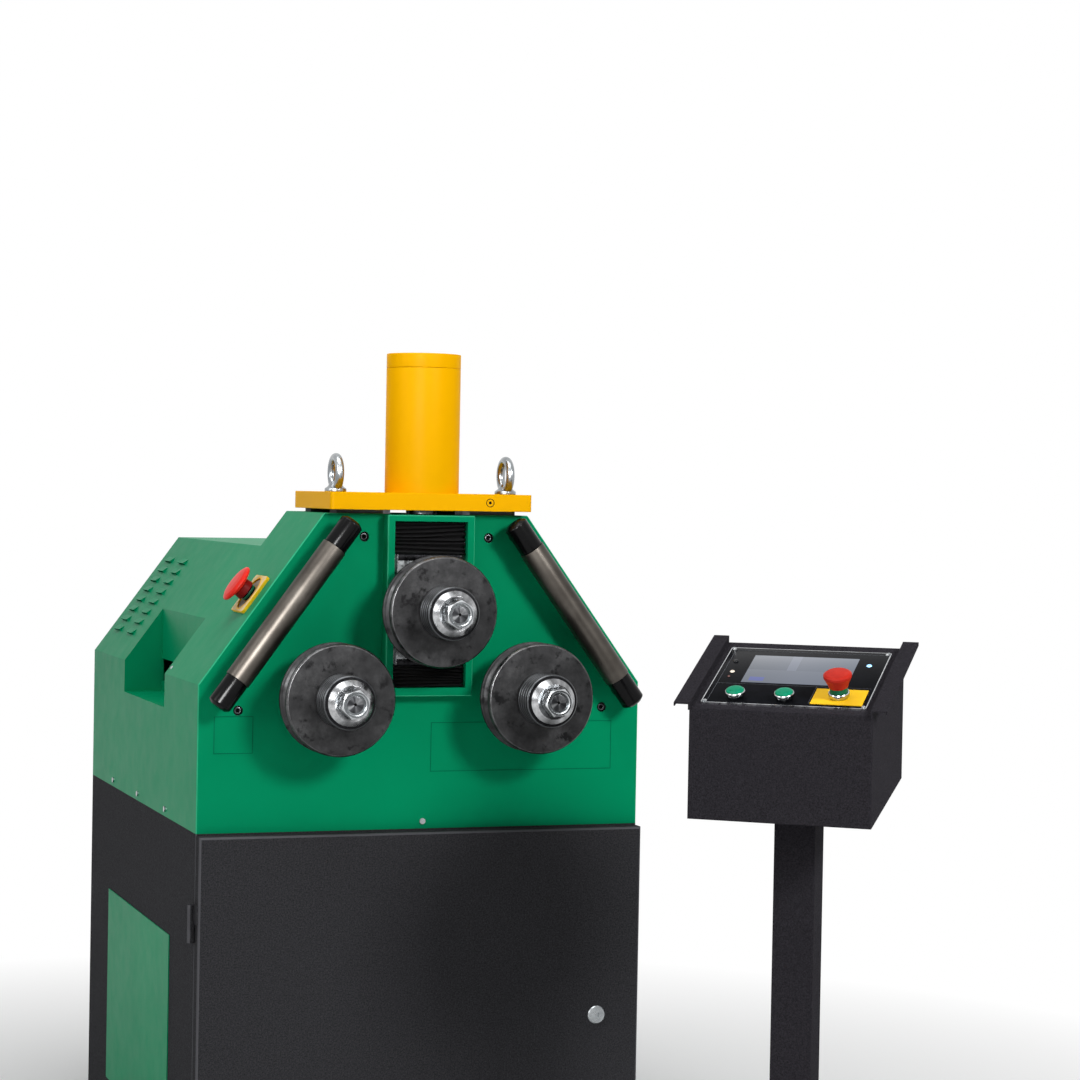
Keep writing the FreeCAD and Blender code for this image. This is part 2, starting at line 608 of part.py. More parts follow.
def inset_section(top, inset):
    """The hood's section drawn in by an inset from its sides and slopes, up to a given top."""
    corner = "shoulder_z - (%s) * (1 - sin(slope_angle)) / cos(slope_angle)" % inset
    half = "half_width - (%s - shoulder_z) / tan(slope_angle) - (%s) / sin(slope_angle)" % (top, inset)
    side = "half_width - (%s)" % inset
    right = [(side, "base_height"), (side, corner), (half, top)]
    return right + [("-(%s)" % across, up) for across, up in reversed(right)]


def louvre_rows(shape):
    """One section loop per louvre, spaced up the slope."""
    loops = []
    for row in range(LOUVRE_ROWS):
        foot = "louvre_start + %d * louvre_pitch" % row
        loops.append(polygon([slope_point("%s + %s" % (foot, run), lift) for run, lift in shape]))
    return loops


def make_hood():
    """The green cover: a folded shell with a raised nose, a hand niche and pressed louvres."""
    body = new_body("hood")
    pad(body, "nose", "XZ", "front", "nose_rear", [polygon(hood_section("nose_z", "nose_half"))])
    pad(body, "tail", "XZ", "nose_rear", "hood_rear", [polygon(hood_section("roof_z", "roof_half"))])
    dress(body, "front_bends", "Fillet", "hood_edge_radius",
          lambda edge: in_plane("y", "front")(edge) and edge.BoundBox.ZMax > number("base_height + 1"))
    dress(body, "long_bends", "Fillet", "hood_edge_radius",
          lambda edge: along(Vector(0, 1, 0))(edge) and edge.BoundBox.ZMax > number("shoulder_z - 1"))
    pocket(body, "nose_cavity", "XZ", "front + hood_skin", "nose_rear - hood_skin",
           [polygon(inset_section("nose_z - hood_skin", "hood_skin"))])
    pocket(body, "tail_cavity", "XZ", "nose_rear - hood_skin", "hood_rear",
           [polygon(inset_section("roof_z - hood_skin", "hood_skin"))])
    niche_wall = "(-niche_back + hood_skin)"
    pad(body, "niche_walls", "XZ", "front + niche_front - hood_skin", "front + niche_rear + hood_skin",
        [polygon([("-half_width", "base_height + niche_bottom - hood_skin"),
                  (niche_wall, "base_height + niche_bottom - hood_skin"),
                  (niche_wall, "shoulder_z + (half_width + %s) * tan(slope_angle)" % niche_wall),
                  ("-half_width", "shoulder_z")])])
    pocket(body, "niche", "XY", "base_height + niche_bottom", "roof_z",
           [rectangle("-half_width - 1", "-niche_back", "front + niche_front", "front + niche_rear")])
    bulge = [("0", "-0.5"), ("0", "louvre_lift"), ("louvre_width", "0"), ("louvre_width", "-0.5")]
    mouth = [("-0.1", "-hood_skin - 0.5"), ("-0.1", "louvre_lift - louvre_sheet"),
             ("louvre_width - louvre_toe", "-0.2"), ("louvre_width - louvre_toe", "-hood_skin - 0.5")]
    last = "rear - louvre_column_rear"
    for column, back in enumerate((last, last + " - louvre_column_pitch")):
        low = "%s - louvre_length / 2" % back
        high = "%s + louvre_length / 2" % back
        for side, flip in (("left", False), ("right", True)):
            outer, inner = louvre_rows(bulge), louvre_rows(mouth)
            if flip:
                outer, inner = [mirrored(loop) for loop in outer], [mirrored(loop) for loop in inner]
            pad(body, "louvres_%s_%d" % (side, column), "XZ", low, high, outer)
            pocket(body, "mouths_%s_%d" % (side, column), "XZ", low + " + louvre_sheet",
                   high + " - louvre_sheet", inner)
    rim_inner = rectangle("-window_half", "window_half", "window_low_z", "window_high_z")
    hub_holes = [circle("roll_x", "lower_z", "hub_radius + skin_hole_gap"),
                 circle("-roll_x", "lower_z", "hub_radius + skin_hole_gap")]
    pocket(body, "front_openings", "XZ", "front", "front + hood_skin",
           [rim_inner] + hub_holes + frame_screw_loops("frame_screw_hole")
           + [circle("0", "base_height + cover_screw_z", "cover_screw_radius")])
    pocket(body, "roof_opening", "XY", "nose_z - hood_skin", "nose_z",
           [rectangle("-roof_opening_half", "roof_opening_half", "plate_front - 1", "rear_plate_back + 2")])
    pocket(body, "niche_port", "YZ", "-niche_back", "-niche_back + hood_skin",
           [rectangle("front + niche_rear - niche_port_length", "front + niche_rear - 1",
                      "base_height + niche_port_bottom", "base_height + niche_port_top")])
    pocket(body, "side_screw_holes", "YZ", "-half_width", "half_width",
           [circle(depth, "base_height + cover_screw_z", "cover_screw_radius") for depth in SIDE_SCREWS])
    return body


def supply_loops(radius):
    """The two oil supply pipes, side by side in depth."""
    return [circle("supply_x", depth, radius) for depth in SUPPLY_DEPTHS]


def plate_screw_loops(radius):
    """The screws of the yellow plate, two into each bearing plate."""
    loops = []
    for depth in ("(plate_front + plate_back) / 2", "(rear_plate_front + rear_plate_back) / 2"):
        loops += [circle("plate_screw_x", depth, radius), circle("-plate_screw_x", depth, radius)]
    return loops


SUPPLY_DEPTHS = ("front + supply_front", "front + supply_front + supply_pitch")
SIDE_SCREWS = ("front + 236", "front + 467", "front + 691")


def frame_screw_loops(radius):
    """The four screws that hold the front of the hood to the bearing plate."""
    right = [circle("frame_screw_x_high", "nose_z - frame_screw_drop", radius),
             circle("half_width - frame_screw_inset", "base_height + frame_screw_z_low", radius)]
    return right + [mirrored(loop) for loop in right]


def make_rear_cover():
    body = new_body("rear_cover")
    pad(body, "sheet", "XZ", "hood_rear", "rear", [polygon(hood_section("roof_z", "roof_half"))])
    slots = []
    for row in range(VENT_ROWS):
        low = "base_height + vent_start + %d * louvre_pitch" % row
        slots.append(rectangle("-vent_half", "vent_half", low, low + " + vent_height"))
    pocket(body, "vents", "XZ", "hood_rear", "rear", slots)
    return body


def make_window_frame():
    """The raised green rim round the carriage window."""
    body = new_body("window_frame")
    outer = "window_half + rim_width"
    pad(body, "rim", "XZ", "front - rim_proud", "front",
        [rectangle("-(%s)" % outer, outer, "base_height + rim_bottom", "nose_z - rim_drop"),
         rectangle("-window_half", "window_half", "window_low_z", "window_high_z")])
    dress(body, "front_edges", "Fillet", "rim_edge_radius",
          both(in_plane("y", "front - rim_proud"),
               lambda edge: edge.BoundBox.XMax > number("window_half + 1")
               or edge.BoundBox.XMin < number("-window_half - 1")))
    return body


# ---------------------------------------------------------------- machine frame
def make_frame_bed():
    body = new_body("frame_bed")
    pad(body, "bed", "XY", "base_height", "bed_top",
        [rectangle("-bed_half", "bed_half", "bed_front", "bed_front + bed_depth")]
        + supply_loops("supply_hole"))
    pocket(body, "skirt_screw_hole", "XZ", "bed_front", "front + cover_screw_length",
           [circle("0", "base_height + cover_screw_z", "cover_screw_radius")])
    return body


def make_bearing_plate(name, low, high, recessed):
    """A plate that follows the hood's section, with a slot for the carriage, open at the top."""
    body = new_body(name)
    outline = [("plate_half", "bed_top"), ("plate_half", "plate_corner_z"),
               ("plate_shoulder_half", "plate_neck_z"), ("neck_half", "plate_neck_z"),
               ("neck_half", "frame_top_z"), ("slot_half", "frame_top_z"), ("slot_half", "window_low_z")]
    left = [("-" + across, up) for across, up in reversed(outline)]
    bores = [circle("roll_x", "lower_z", "bearing_radius"), circle("-roll_x", "lower_z", "bearing_radius")]
    pad(body, "plate", "XZ", low, high, [polygon(outline + left)] + bores)
    bottom = "top_plate_z - plate_screw_head - plate_screw_length"
    taps = [loop for loop in plate_screw_loops("plate_screw_radius")
            if number(low) < number(loop[2]) < number(high)]
    pocket(body, "top_taps", "XY", bottom, "frame_top_z", taps)
    if recessed:
        pocket(body, "screw_seats", "XZ", low, low + " + screw_sink + frame_screw_head",
               frame_screw_loops("frame_screw_hole"))
        pocket(body, "screw_holes", "XZ", low, low + " + screw_sink + frame_screw_length",
               frame_screw_loops("frame_screw_radius"))
    return body


def make_tie_bars():
    body = new_body("frame_tie_bars")
    right = [circle("tie_x", "base_height + tie_low", "tie_radius"),
             circle("tie_x_high", "base_height + tie_high", "tie_radius")]
    pad(body, "bars", "XZ", "plate_back", "rear_plate_front", right + [mirrored(loop) for loop in right])
    return body


def bearing_loops():
    loops = []
    for across in ("roll_x", "-roll_x"):
        loops.append(circle(across, "lower_z", "bearing_radius"))
        loops.append(circle(across, "lower_z", "journal_radius + journal_clearance"))
    return loops


def make_lower_bearings():
    """Four shaft bearings, pressed into the two bearing plates."""
    body = new_body("lower_bearings")
    pad(body, "front_pair", "XZ", "plate_front + bearing_setback",
        "plate_front + bearing_setback + bearing_width", bearing_loops())
    pad(body, "rear_pair", "XZ", "rear_plate_front + bearing_setback",
        "rear_plate_front + bearing_setback + bearing_width", bearing_loops())
    return body


def make_carriage_guides():
    """Four guide strips that line the slots of both bearing plates."""
    body = new_body("carriage_guides")
    strip = rectangle("window_half", "slot_half", "window_low_z", "frame_top_z")
    pad(body, "front_strips", "XZ", "plate_front", "plate_back", [strip, mirrored(strip)])
    pad(body, "rear_strips", "XZ", "rear_plate_front", "rear_plate_back", [strip, mirrored(strip)])
    return body


def make_top_plate():
    """The yellow plate that ties the frame's top and carries the cylinder and the lifting eyes."""
    body = new_body("top_plate")
    pad(body, "plate", "XY", "frame_top_z", "top_plate_z",
        [rectangle("-top_plate_half", "top_plate_half",
                   "front - top_plate_front", "front + top_plate_rear")])
    dress(body, "corners", "Fillet", "top_plate_corner", along(Vector(0, 0, 1)))
    dress(body, "edges", "Chamfer", "top_plate_edge",
          lambda edge: in_plane("z", "top_plate_z")(edge) or in_plane("z", "frame_top_z")(edge))
    pocket(body, "bores", "XY", "frame_top_z", "top_plate_z",
           [circle("0", "ram_line", "rod_radius + rod_clearance"),
            circle("eye_x", "front + eye_y", "eye_shank_radius"),
            circle("-eye_x", "front + eye_y", "eye_shank_radius")])
    pocket(body, "screw_holes", "XY", "frame_top_z", "top_plate_z", plate_screw_loops("plate_screw_radius"))
    pocket(body, "screw_seats", "XY", "top_plate_z - plate_screw_head", "top_plate_z",
           plate_screw_loops("plate_screw_head_radius"))
    pocket(body, "plug_seat", "XZ", "front - top_plate_front", "front - top_plate_front + port_plug_depth",
           [circle("port_plug_x", "frame_top_z + top_plate_thickness / 2", "port_plug_radius")])
    return body


def make_cylinder_barrel():
    body = new_body("cylinder_barrel")
    pad(body, "tube", "XY", "top_plate_z", "barrel_top", [circle("0", "ram_line", "barrel_radius")])
    pad(body, "port_boss", "XZ", "ram_line + (barrel_bore + barrel_radius) / 2", "port_face",
        [circle("0", "port_z", "port_radius")])
    pocket(body, "bore", "XY", "top_plate_z", "barrel_top", [circle("0", "ram_line", "barrel_bore")])
    pocket(body, "port_hole", "XZ", "ram_line", "port_face",
           [circle("0", "port_z", "port_bore")])
    return body


def make_cylinder_cap():
    body = new_body("cylinder_cap")
    turn(body, "cap", [polygon([("0", "-cap_spigot"), ("barrel_bore - 0.05", "-cap_spigot"),
                                ("barrel_bore - 0.05", "0"), ("barrel_radius - cap_chamfer", "0"),
                                ("barrel_radius", "cap_chamfer"),
                                ("barrel_radius", "cap_length - cap_chamfer"),
                                ("barrel_radius - cap_chamfer", "cap_length"), ("0", "cap_length")])])
    place(body, "placement(vector(0; ram_line; barrel_top); rotationx(0))")
    return body


def make_lifting_eyes():
    """Two ring bolts in line with the cylinder, their rings lying fore and aft."""
    ring = doc.addObject("Part::Torus", "eye_ring")
    for prop, size in (("Radius1", "eye_ring_radius"), ("Radius2", "eye_section_radius")):
        ring.setExpression(prop, expand(size))
    centre = "top_plate_z + eye_height - eye_ring_radius - eye_section_radius"
    place(ring, "placement(vector(eye_x; front + eye_y; %s); rotationy(90))" % centre)
    shank = new_body("eye_shank")
    turn(shank, "stem", [polygon([("0", "-eye_shank"), ("eye_shank_radius", "-eye_shank"),
                                  ("eye_shank_radius", "0"), ("eye_collar_radius", "0"),
                                  ("eye_collar_radius", "eye_collar - 3"),
                                  ("eye_collar_radius - 5", "eye_collar"), ("0", "eye_collar")])])
    place(shank, "placement(vector(eye_x; front + eye_y; top_plate_z); rotationx(0))")
    eye = doc.addObject("Part::Fuse", "right_eye")
    eye.Base = shank
    eye.Tool = ring
    return group("lifting_eyes", [eye, mirror_x("left_eye", eye)])


# ---------------------------------------------------------------- roll units
def make_shaft(name, across, up, collar_end, bearing_start, tail, geared):
    """A stepped shaft: thread, roll journal, collar, bearing journal and, below, a gear seat."""
    body = new_body(name)
    thread_face = "nut_face + nut_recess"
    steps = [("0", thread_face), ("thread_radius - thread_edge", thread_face),
             ("thread_radius", thread_face + " + thread_edge"), ("thread_radius", "stack_face + thread_run"),
             ("roll_bore", "stack_face + thread_run"), ("roll_bore", "roll_back"),
             ("hub_radius", "roll_back"), ("hub_radius", collar_end),
             ("journal_radius + shaft_shoulder", collar_end),
             ("journal_radius + shaft_shoulder", bearing_start), ("journal_radius", bearing_start)]
    if geared:
        steps += [("journal_radius", "rear_plate_back + seat_step"),
                  ("seat_radius", "rear_plate_back + seat_step"),
                  ("seat_radius", tail), ("0", tail)]
    else:
        steps += [("journal_radius", tail), ("0", tail)]
    turn(body, "steps", [polygon(steps)])
    turn(body, "centre_drilling",
         [polygon([("0", thread_face), ("centre_hole", thread_face),
                   ("centre_hole", thread_face + " + centre_hole"),
                   ("0", thread_face + " + 2 * centre_hole")])],
         "PartDesign::Groove")
    place(body, shaft_place(across, up))
    return body


def make_roll(name, across, up):
    """A forming roll with a half-round groove for the tube."""
    body = new_body(name)
    middle = "roll_back - roll_width / 2"
    turn(body, "disc", [polygon([("roll_bore", "roll_face"), ("roll_radius - roll_edge", "roll_face"),
                                 ("roll_radius", "roll_face + roll_edge"),
                                 ("roll_radius", "roll_back - roll_edge"),
                                 ("roll_radius - roll_edge", "roll_back"), ("roll_bore", "roll_back")])])
    turn(body, "tube_groove", [circle("roll_radius", middle, "tube_radius + groove_clearance")],
         "PartDesign::Groove")
    place(body, shaft_place(across, up))
    return body


def make_spacers(name, across, up):
    """A stack of loose distance rings between the roll and the clamping nut."""
    body = new_body(name)
    loops = []
    for index in range(RING_COUNT):
        low = "stack_face + %d * ring_pitch" % index
        high = low + " + ring_width"
        loops.append(polygon([("roll_bore", low), ("hub_radius - ring_edge", low),
                              ("hub_radius", low + " + ring_edge"), ("hub_radius", high),
                              ("roll_bore", high)]))
    turn(body, "rings", loops)
    place(body, shaft_place(across, up))
    return body


def make_clamp_nut(name, across, up, phase):
    """A collar nut: conical flange, neck and a hexagon with a round recess."""
    body = new_body(name)
    turn(body, "flange", [polygon([("thread_radius", "flange_face - neck_groove"),
                                   ("neck_radius", "flange_face - neck_groove"),
                                   ("neck_radius", "flange_face"), ("flange_front_radius", "flange_face"),
                                   ("flange_radius", "stack_face - flange_rim"),
                                   ("flange_radius", "stack_face"),
                                   ("thread_radius", "stack_face")])])
    reach = "nut_flats / 2 / cos(30)"
    corners = []
    for side in range(6):
        angle = "(%d + %s)" % (60 * side + 30, phase)
        corners.append(("%s * cos%s" % (reach, angle), "%s * sin%s" % (reach, angle)))
    pad(body, "hexagon", "XY", "nut_face", "flange_face - neck_groove",
        [polygon(corners), circle("0", "0", "thread_radius")])
    pocket(body, "face_recess", "XY", "nut_face", "nut_face + nut_recess",
           [circle("0", "0", "nut_recess_radius")])
    turn(body, "corner_bevel", [polygon([("nut_flats / 2", "nut_face"), ("nut_flats", "nut_face"),
                                         ("nut_flats", "nut_face + nut_flats / 2 * tan(nut_bevel)")])],
         "PartDesign::Groove")
    place(body, shaft_place(across, up))
    return body


def make_roll_unit(side, across, up, phase):
    if side == "top":
        shaft = make_shaft("top_shaft", across, up, "carriage_nose - collar_gap",
                           "carriage_nose + bearing_setback", "front + top_shaft_tail", False)
    else:
        shaft = make_shaft(side + "_shaft", across, up, "plate_front - collar_gap / 2",
                           "plate_front + bearing_setback", "front + shaft_tail", True)
    return [shaft, make_roll(side + "_roll", across, up), make_spacers(side + "_spacers", across, up),
            make_clamp_nut(side + "_clamp_nut", across, up, phase)]


# ---------------------------------------------------------------- gears
def involute(base_radius, radius):
    """Polar angle of an involute at a radius, counted from its foot on the base circle."""
    if radius <= base_radius:
        return 0.0
    roll = math.sqrt((radius / base_radius) ** 2 - 1)
    return roll - math.atan(roll)


def gear_face(teeth, module, backlash, first_tooth):
    """A spur gear's outline: involute flanks as three-point arcs, with straight tips and roots."""
    pitch = module * teeth / 2
    tip, root = pitch + module, pitch - 1.25 * module
    base = pitch * math.cos(math.radians(20))
    half_tooth = math.pi / (2 * teeth) - backlash / (2 * pitch)
    start = max(root, base)

    def at(radius, angle):
        return Vector(radius * math.cos(angle), radius * math.sin(angle), 0)

    def flank_angle(radius):
        return half_tooth + involute(base, pitch) - involute(base, radius)

    edges = []
    last = None
    for tooth in range(teeth):
        centre = first_tooth + 2 * math.pi * tooth / teeth
        middle = (start + tip) / 2
        low_side = [at(r, centre - flank_angle(r)) for r in (root, start, middle, tip)]
        high_side = [at(r, centre + flank_angle(r)) for r in (tip, middle, start, root)]
        if last is not None:
            edges.append(Part.LineSegment(last, low_side[0]).toShape())
        if root < start:
            edges.append(Part.LineSegment(low_side[0], low_side[1]).toShape())
        edges.append(Part.Arc(low_side[1], low_side[2], low_side[3]).toShape())
        edges.append(Part.LineSegment(low_side[3], high_side[0]).toShape())
        edges.append(Part.Arc(high_side[0], high_side[1], high_side[2]).toShape())
        if root < start:
            edges.append(Part.LineSegment(high_side[2], high_side[3]).toShape())
        last = high_side[3]
    edges.append(Part.LineSegment(last, edges[0].Vertexes[0].Point).toShape())
    return Part.Face(Part.Wire(edges))


def gear_feature(name, shape, across, up):
    """A Part::Feature, because a toothed outline by formula suits neither a sketch nor a primitive."""
    gear = doc.addObject("Part::Feature", name)
    gear.Shape = shape.removeSplitter()
    gear.Placement = FreeCAD.Placement(Vector(number(across), number("gear_face"), number(up)),
                                       FreeCAD.Rotation(Vector(1, 0, 0), -90))
    gear.Label = name
    return gear


def gear_round(radius, start, end):
    """A round blank on the gear's axis between two levels."""
    level = number(start)
    return Part.makeCylinder(number(radius), number(end) - level, Vector(0, 0, level))


def toothed(teeth, first_tooth):
    face = gear_face(teeth, number("gear_module"), number("gear_backlash"), first_tooth)
    return face.extrude(Vector(0, 0, number("gear_width")))


def make_shaft_gear(name, across, first_tooth):
    """A shaft gear with a hub and a turned-down web on its rear face."""
    recess_start = "gear_width - gear_web_recess"
    recess = gear_round("gear_pitch_radius - gear_rim", recess_start, "gear_width")
    recess = recess.cut(gear_round("gear_hub_radius", recess_start, "gear_width"))
    solid = toothed(DIMS["gear_teeth"], first_tooth).cut(recess)
    solid = solid.fuse(gear_round("gear_hub_radius", "-gear_hub_rise", "0"))
    solid = solid.cut(gear_round("seat_radius", "-2 * gear_hub_rise", "2 * gear_width"))
    return gear_feature(name, solid, across, "lower_z")


def make_gears():
    """Both shaft gears mesh with one pinion, cut on the gearbox's shaft below and between them."""
    # local X stays the row's X and local Y points down, so a mesh line to the pinion rises in local Y
    lean = math.atan2(number("pinion_drop"), number("roll_x"))
    teeth, pinion = DIMS["gear_teeth"], DIMS["pinion_teeth"]
    to_left, to_right = math.pi + lean, -lean
    pinion_pitch = 2 * math.pi / pinion
    pitches = (to_right - to_left) / pinion_pitch
    slip = (pitches - math.floor(pitches)) * pinion_pitch * pinion / teeth
    left = make_shaft_gear("left_gear", "-roll_x", to_left - math.pi + math.pi / teeth)
    right = make_shaft_gear("right_gear", "roll_x", to_right - math.pi + math.pi / teeth + slip)
    shaft = gear_round("pinion_shaft_radius", "-pinion_shaft_front",
                       "gearbox_face - gear_face + pinion_shaft_sink")
    drive = gear_feature("drive_pinion", toothed(pinion, to_left).fuse(shaft), "0", "pinion_z")
    return left, right, drive


# ---------------------------------------------------------------- carriage and ram
def make_carriage():
    """The block that carries the top shaft and slides in the guides, waisted between them."""
    body = new_body("carriage")
    side = "window_half - guide_clearance"
    pad(body, "block", "XZ", "plate_front", "carriage_tail",
        [rectangle("-(%s)" % side, side, "carriage_bottom", "carriage_top")])
    nose = "window_half - nose_margin"
    pad(body, "nose", "XZ", "carriage_nose", "plate_front",
        [rectangle("-(%s)" % nose, nose, "carriage_bottom", "carriage_top")])
    waist = rectangle("carriage_waist", "window_half", "carriage_bottom", "carriage_top")
    pocket(body, "waist", "XZ", "plate_back + carriage_waist_margin",
           "rear_plate_front - carriage_waist_margin", [waist, mirrored(waist)])
    pocket(body, "front_seat", "XZ", "carriage_nose", "carriage_nose + bearing_setback + bearing_width",
           [circle("0", "top_z", "bearing_radius")])
    pocket(body, "rear_seat", "XZ", "carriage_tail - bearing_setback - bearing_width", "carriage_tail",
           [circle("0", "top_z", "bearing_radius")])
    pocket(body, "core", "XZ", "carriage_nose", "carriage_tail",
           [circle("0", "top_z", "bearing_radius - carriage_core_lip")])
    return body


def make_top_bearings():
    body = new_body("top_bearings")
    rings = [circle("0", "top_z", "bearing_radius"),
             circle("0", "top_z", "journal_radius + journal_clearance")]
    pad(body, "front_bearing", "XZ", "carriage_nose + bearing_setback",
        "carriage_nose + bearing_setback + bearing_width", rings)
    pad(body, "rear_bearing", "XZ", "carriage_tail - bearing_setback - bearing_width",
        "carriage_tail - bearing_setback", rings)
    return body


def make_piston_rod():
    body = new_body("piston_rod")
    turn(body, "rod", [polygon([("0", "carriage_top"), ("rod_foot_radius", "carriage_top"),
                                ("rod_foot_radius", "carriage_top + rod_foot"),
                                ("rod_radius", "carriage_top + rod_foot"), ("rod_radius", "piston_z"),
                                ("barrel_bore - piston_clearance", "piston_z"),
                                ("barrel_bore - piston_clearance", "piston_z + piston_thickness"),
                                ("0", "piston_z + piston_thickness")])])
    place(body, "placement(vector(0; ram_line; 0); rotationx(0))")
    return body


def make_bellows(name, low, high, folds):
    """A folded way cover: a zigzag sheet across the window."""
    body = new_body(name)
    pitch = "((%s) - (%s)) / %d" % (high, low, 2 * folds)
    outer, inner = [], []
    for step in range(2 * folds + 1):
        level = "(%s) + %d * %s" % (low, step, pitch) if step else low
        crest = "front - bellows_front" if step % 2 else "front - bellows_rear - bellows_sheet"
        outer.append((crest, level))
        inner.append((crest + " + bellows_sheet", level))
    side = "window_half - bellows_side_gap"
    pad(body, "folds", "YZ", "-(%s)" % side, side, [polygon(outer + inner[::-1])])
    return body


# ---------------------------------------------------------------- guide rollers
GUIDE_SPOT = slope_point("slope_length / 2", "-guide_inset")
GUIDE_PLACE = ("placement(vector(%s; front - guide_offset; %s); rotationy(90 - slope_angle))" % GUIDE_SPOT)


def make_guide_sleeve():
    """The left roller: a steel tube with a bush in each end, free on its axle."""
    body = new_body("left_guide_sleeve")
    half = "sleeve_length / 2 - sleeve_gap"
    turn(body, "tube", [polygon([("sleeve_bore", "-(%s)" % half),
                                 ("sleeve_radius - sleeve_edge", "-(%s)" % half),
                                 ("sleeve_radius", "-(%s) + sleeve_edge" % half),
                                 ("sleeve_radius", half + " - sleeve_edge"),
                                 ("sleeve_radius - sleeve_edge", half), ("sleeve_bore", half)])])
    turn(body, "core", [polygon([("0", "-(sleeve_length / 2 - sleeve_plug)"),
                                 ("sleeve_core", "-(sleeve_length / 2 - sleeve_plug)"),
                                 ("sleeve_core", "sleeve_length / 2 - sleeve_plug"),
                                 ("0", "sleeve_length / 2 - sleeve_plug")])], "PartDesign::Groove")
    place(body, GUIDE_PLACE)
    return body


def make_guide_ends():
    """Black end blocks, each on a post from the front of the machine."""
    body = new_body("left_guide_ends")
    for name, sign in (("upper", ""), ("lower", "-")):
        near, far = sign + "(sleeve_length / 2)", sign + "(bar_half)"
        inner = sign + "(sleeve_length / 2 + axle_insert)"
        bevel = sign + "(bar_half - end_edge)"
        section = [("axle_radius", near), ("end_radius", near), ("end_radius", bevel),
                   ("end_radius - end_edge", far), ("0", far), ("0", inner), ("axle_radius", inner)]
        turn(body, name + "_block", [polygon(section)])
    middle = "sleeve_length / 2 + end_length / 2"
    pad(body, "posts", "XZ", "end_radius - post_root", "guide_offset",
        [circle("0", middle, "post_radius"), circle("0", "-(%s)" % middle, "post_radius")])
    place(body, GUIDE_PLACE)
    return body


def make_guide_axle():
    body = new_body("left_guide_axle")
    half = "sleeve_length / 2 + axle_insert"
    pad(body, "rod", "XY", "-(%s)" % half, half, [circle("0", "0", "axle_radius")])
    place(body, GUIDE_PLACE)
    return body


# ---------------------------------------------------------------- emergency stops
def make_estop_plate():
    """The yellow legend plate on the left slope, with a shallow round recess."""
    body = new_body("slope_stop_plate")
    half_x, half_y = "estop_plate_length / 2", "estop_plate_width / 2"
    pad(body, "plate", "XY", "0", "estop_plate_thickness",
        [rectangle("-(%s)" % half_x, half_x, "-(%s)" % half_y, half_y),
         circle("0", "0", "collar_stem_radius")])
    dress(body, "corners", "Fillet", "estop_corner",
          both(along(Vector(0, 0, 1)), lambda edge: abs(edge.BoundBox.XMax) > number(half_x) - 0.1))
    pocket(body, "recess", "XY", "estop_plate_thickness - estop_recess", "estop_plate_thickness",
           [circle("0", "0", "estop_recess_radius")])
    place(body, slope_place("front + estop_y"))
    return body


def make_estop_collar():
    body = new_body("slope_stop_collar")
    turn(body, "collar", [polygon([("collar_bore", "-collar_stem"), ("collar_stem_radius", "-collar_stem"),
                                   ("collar_stem_radius", "stop_seat"), ("collar_radius", "stop_seat"),
                                   ("collar_radius", "stop_skirt_low - collar_edge"),
                                   ("collar_radius - collar_edge", "stop_skirt_low"),
                                   ("collar_bore", "stop_skirt_low")])])
    place(body, slope_place("front + estop_y"))
    return body


def make_estop_button():
    """The large mushroom: a domed head on a hollow skirt that slides over the collar."""
    body = new_body("machine_estop_button")
    neck = "stop_skirt_low + stop_skirt"
    rim = "stop_skirt_low + stop_skirt + mushroom_cone"
    top = rim + " + mushroom_rim"
    socket = "stop_skirt_low + stop_pin_socket"
    bore = "collar_radius + collar_skirt_gap"
    section = [("0", "-stop_pin_sink"), ("stop_pin_radius", "-stop_pin_sink"), ("stop_pin_radius", socket),
               (bore, socket), (bore, "stop_skirt_low"), ("stop_skirt_radius", "stop_skirt_low"),
               ("stop_skirt_radius", neck), ("mushroom_radius", rim), ("mushroom_radius", top),
               ("mushroom_radius * 0.92", top + " + mushroom_dome * 0.4"),
               ("mushroom_radius * 0.7", top + " + mushroom_dome * 0.78"),
               ("mushroom_radius * 0.4", top + " + mushroom_dome * 0.95"), ("0", top + " + mushroom_dome")]
    turn(body, "mushroom", [polygon(section)])
    place(body, slope_place("front + estop_y"))
    return body


def panel_place(across, run, lift="0"):
    return PANEL + " * placement(vector(%s; %s; %s); rotationx(0))" % (across, run, lift)


def make_console_stop_plate():
    body = new_body("console_stop_plate")
    pad(body, "plate", "XY", "0", "stop_plate_thickness",
        [rectangle("-stop_plate_half", "stop_plate_half", "-stop_plate_length / 2", "stop_plate_length / 2"),
         circle("0", "0", "collar_stem_radius")])
    place(body, panel_place("console_stop_x", "console_stop_s", "panel_lift"))
    return body


def make_console_stop_collar():
    """A cup-shaped collar, into which the head's neck sinks when it is pressed."""
    body = new_body("console_stop_collar")
    low, high = "stop_plate_thickness", "stop_plate_thickness + console_collar_height"
    floor = "stop_plate_thickness + console_collar_floor"
    cup = "console_head_neck + console_collar_gap"
    turn(body, "collar", [polygon([("collar_bore", "-collar_stem"), ("collar_stem_radius", "-collar_stem"),
                                   ("collar_stem_radius", low), ("collar_radius", low),
                                   ("collar_radius", high + " - 1"), ("collar_radius - 0.6", high),
                                   (cup, high), (cup, floor), ("collar_bore", floor)])])
    place(body, panel_place("console_stop_x", "console_stop_s", "panel_lift"))
    return body


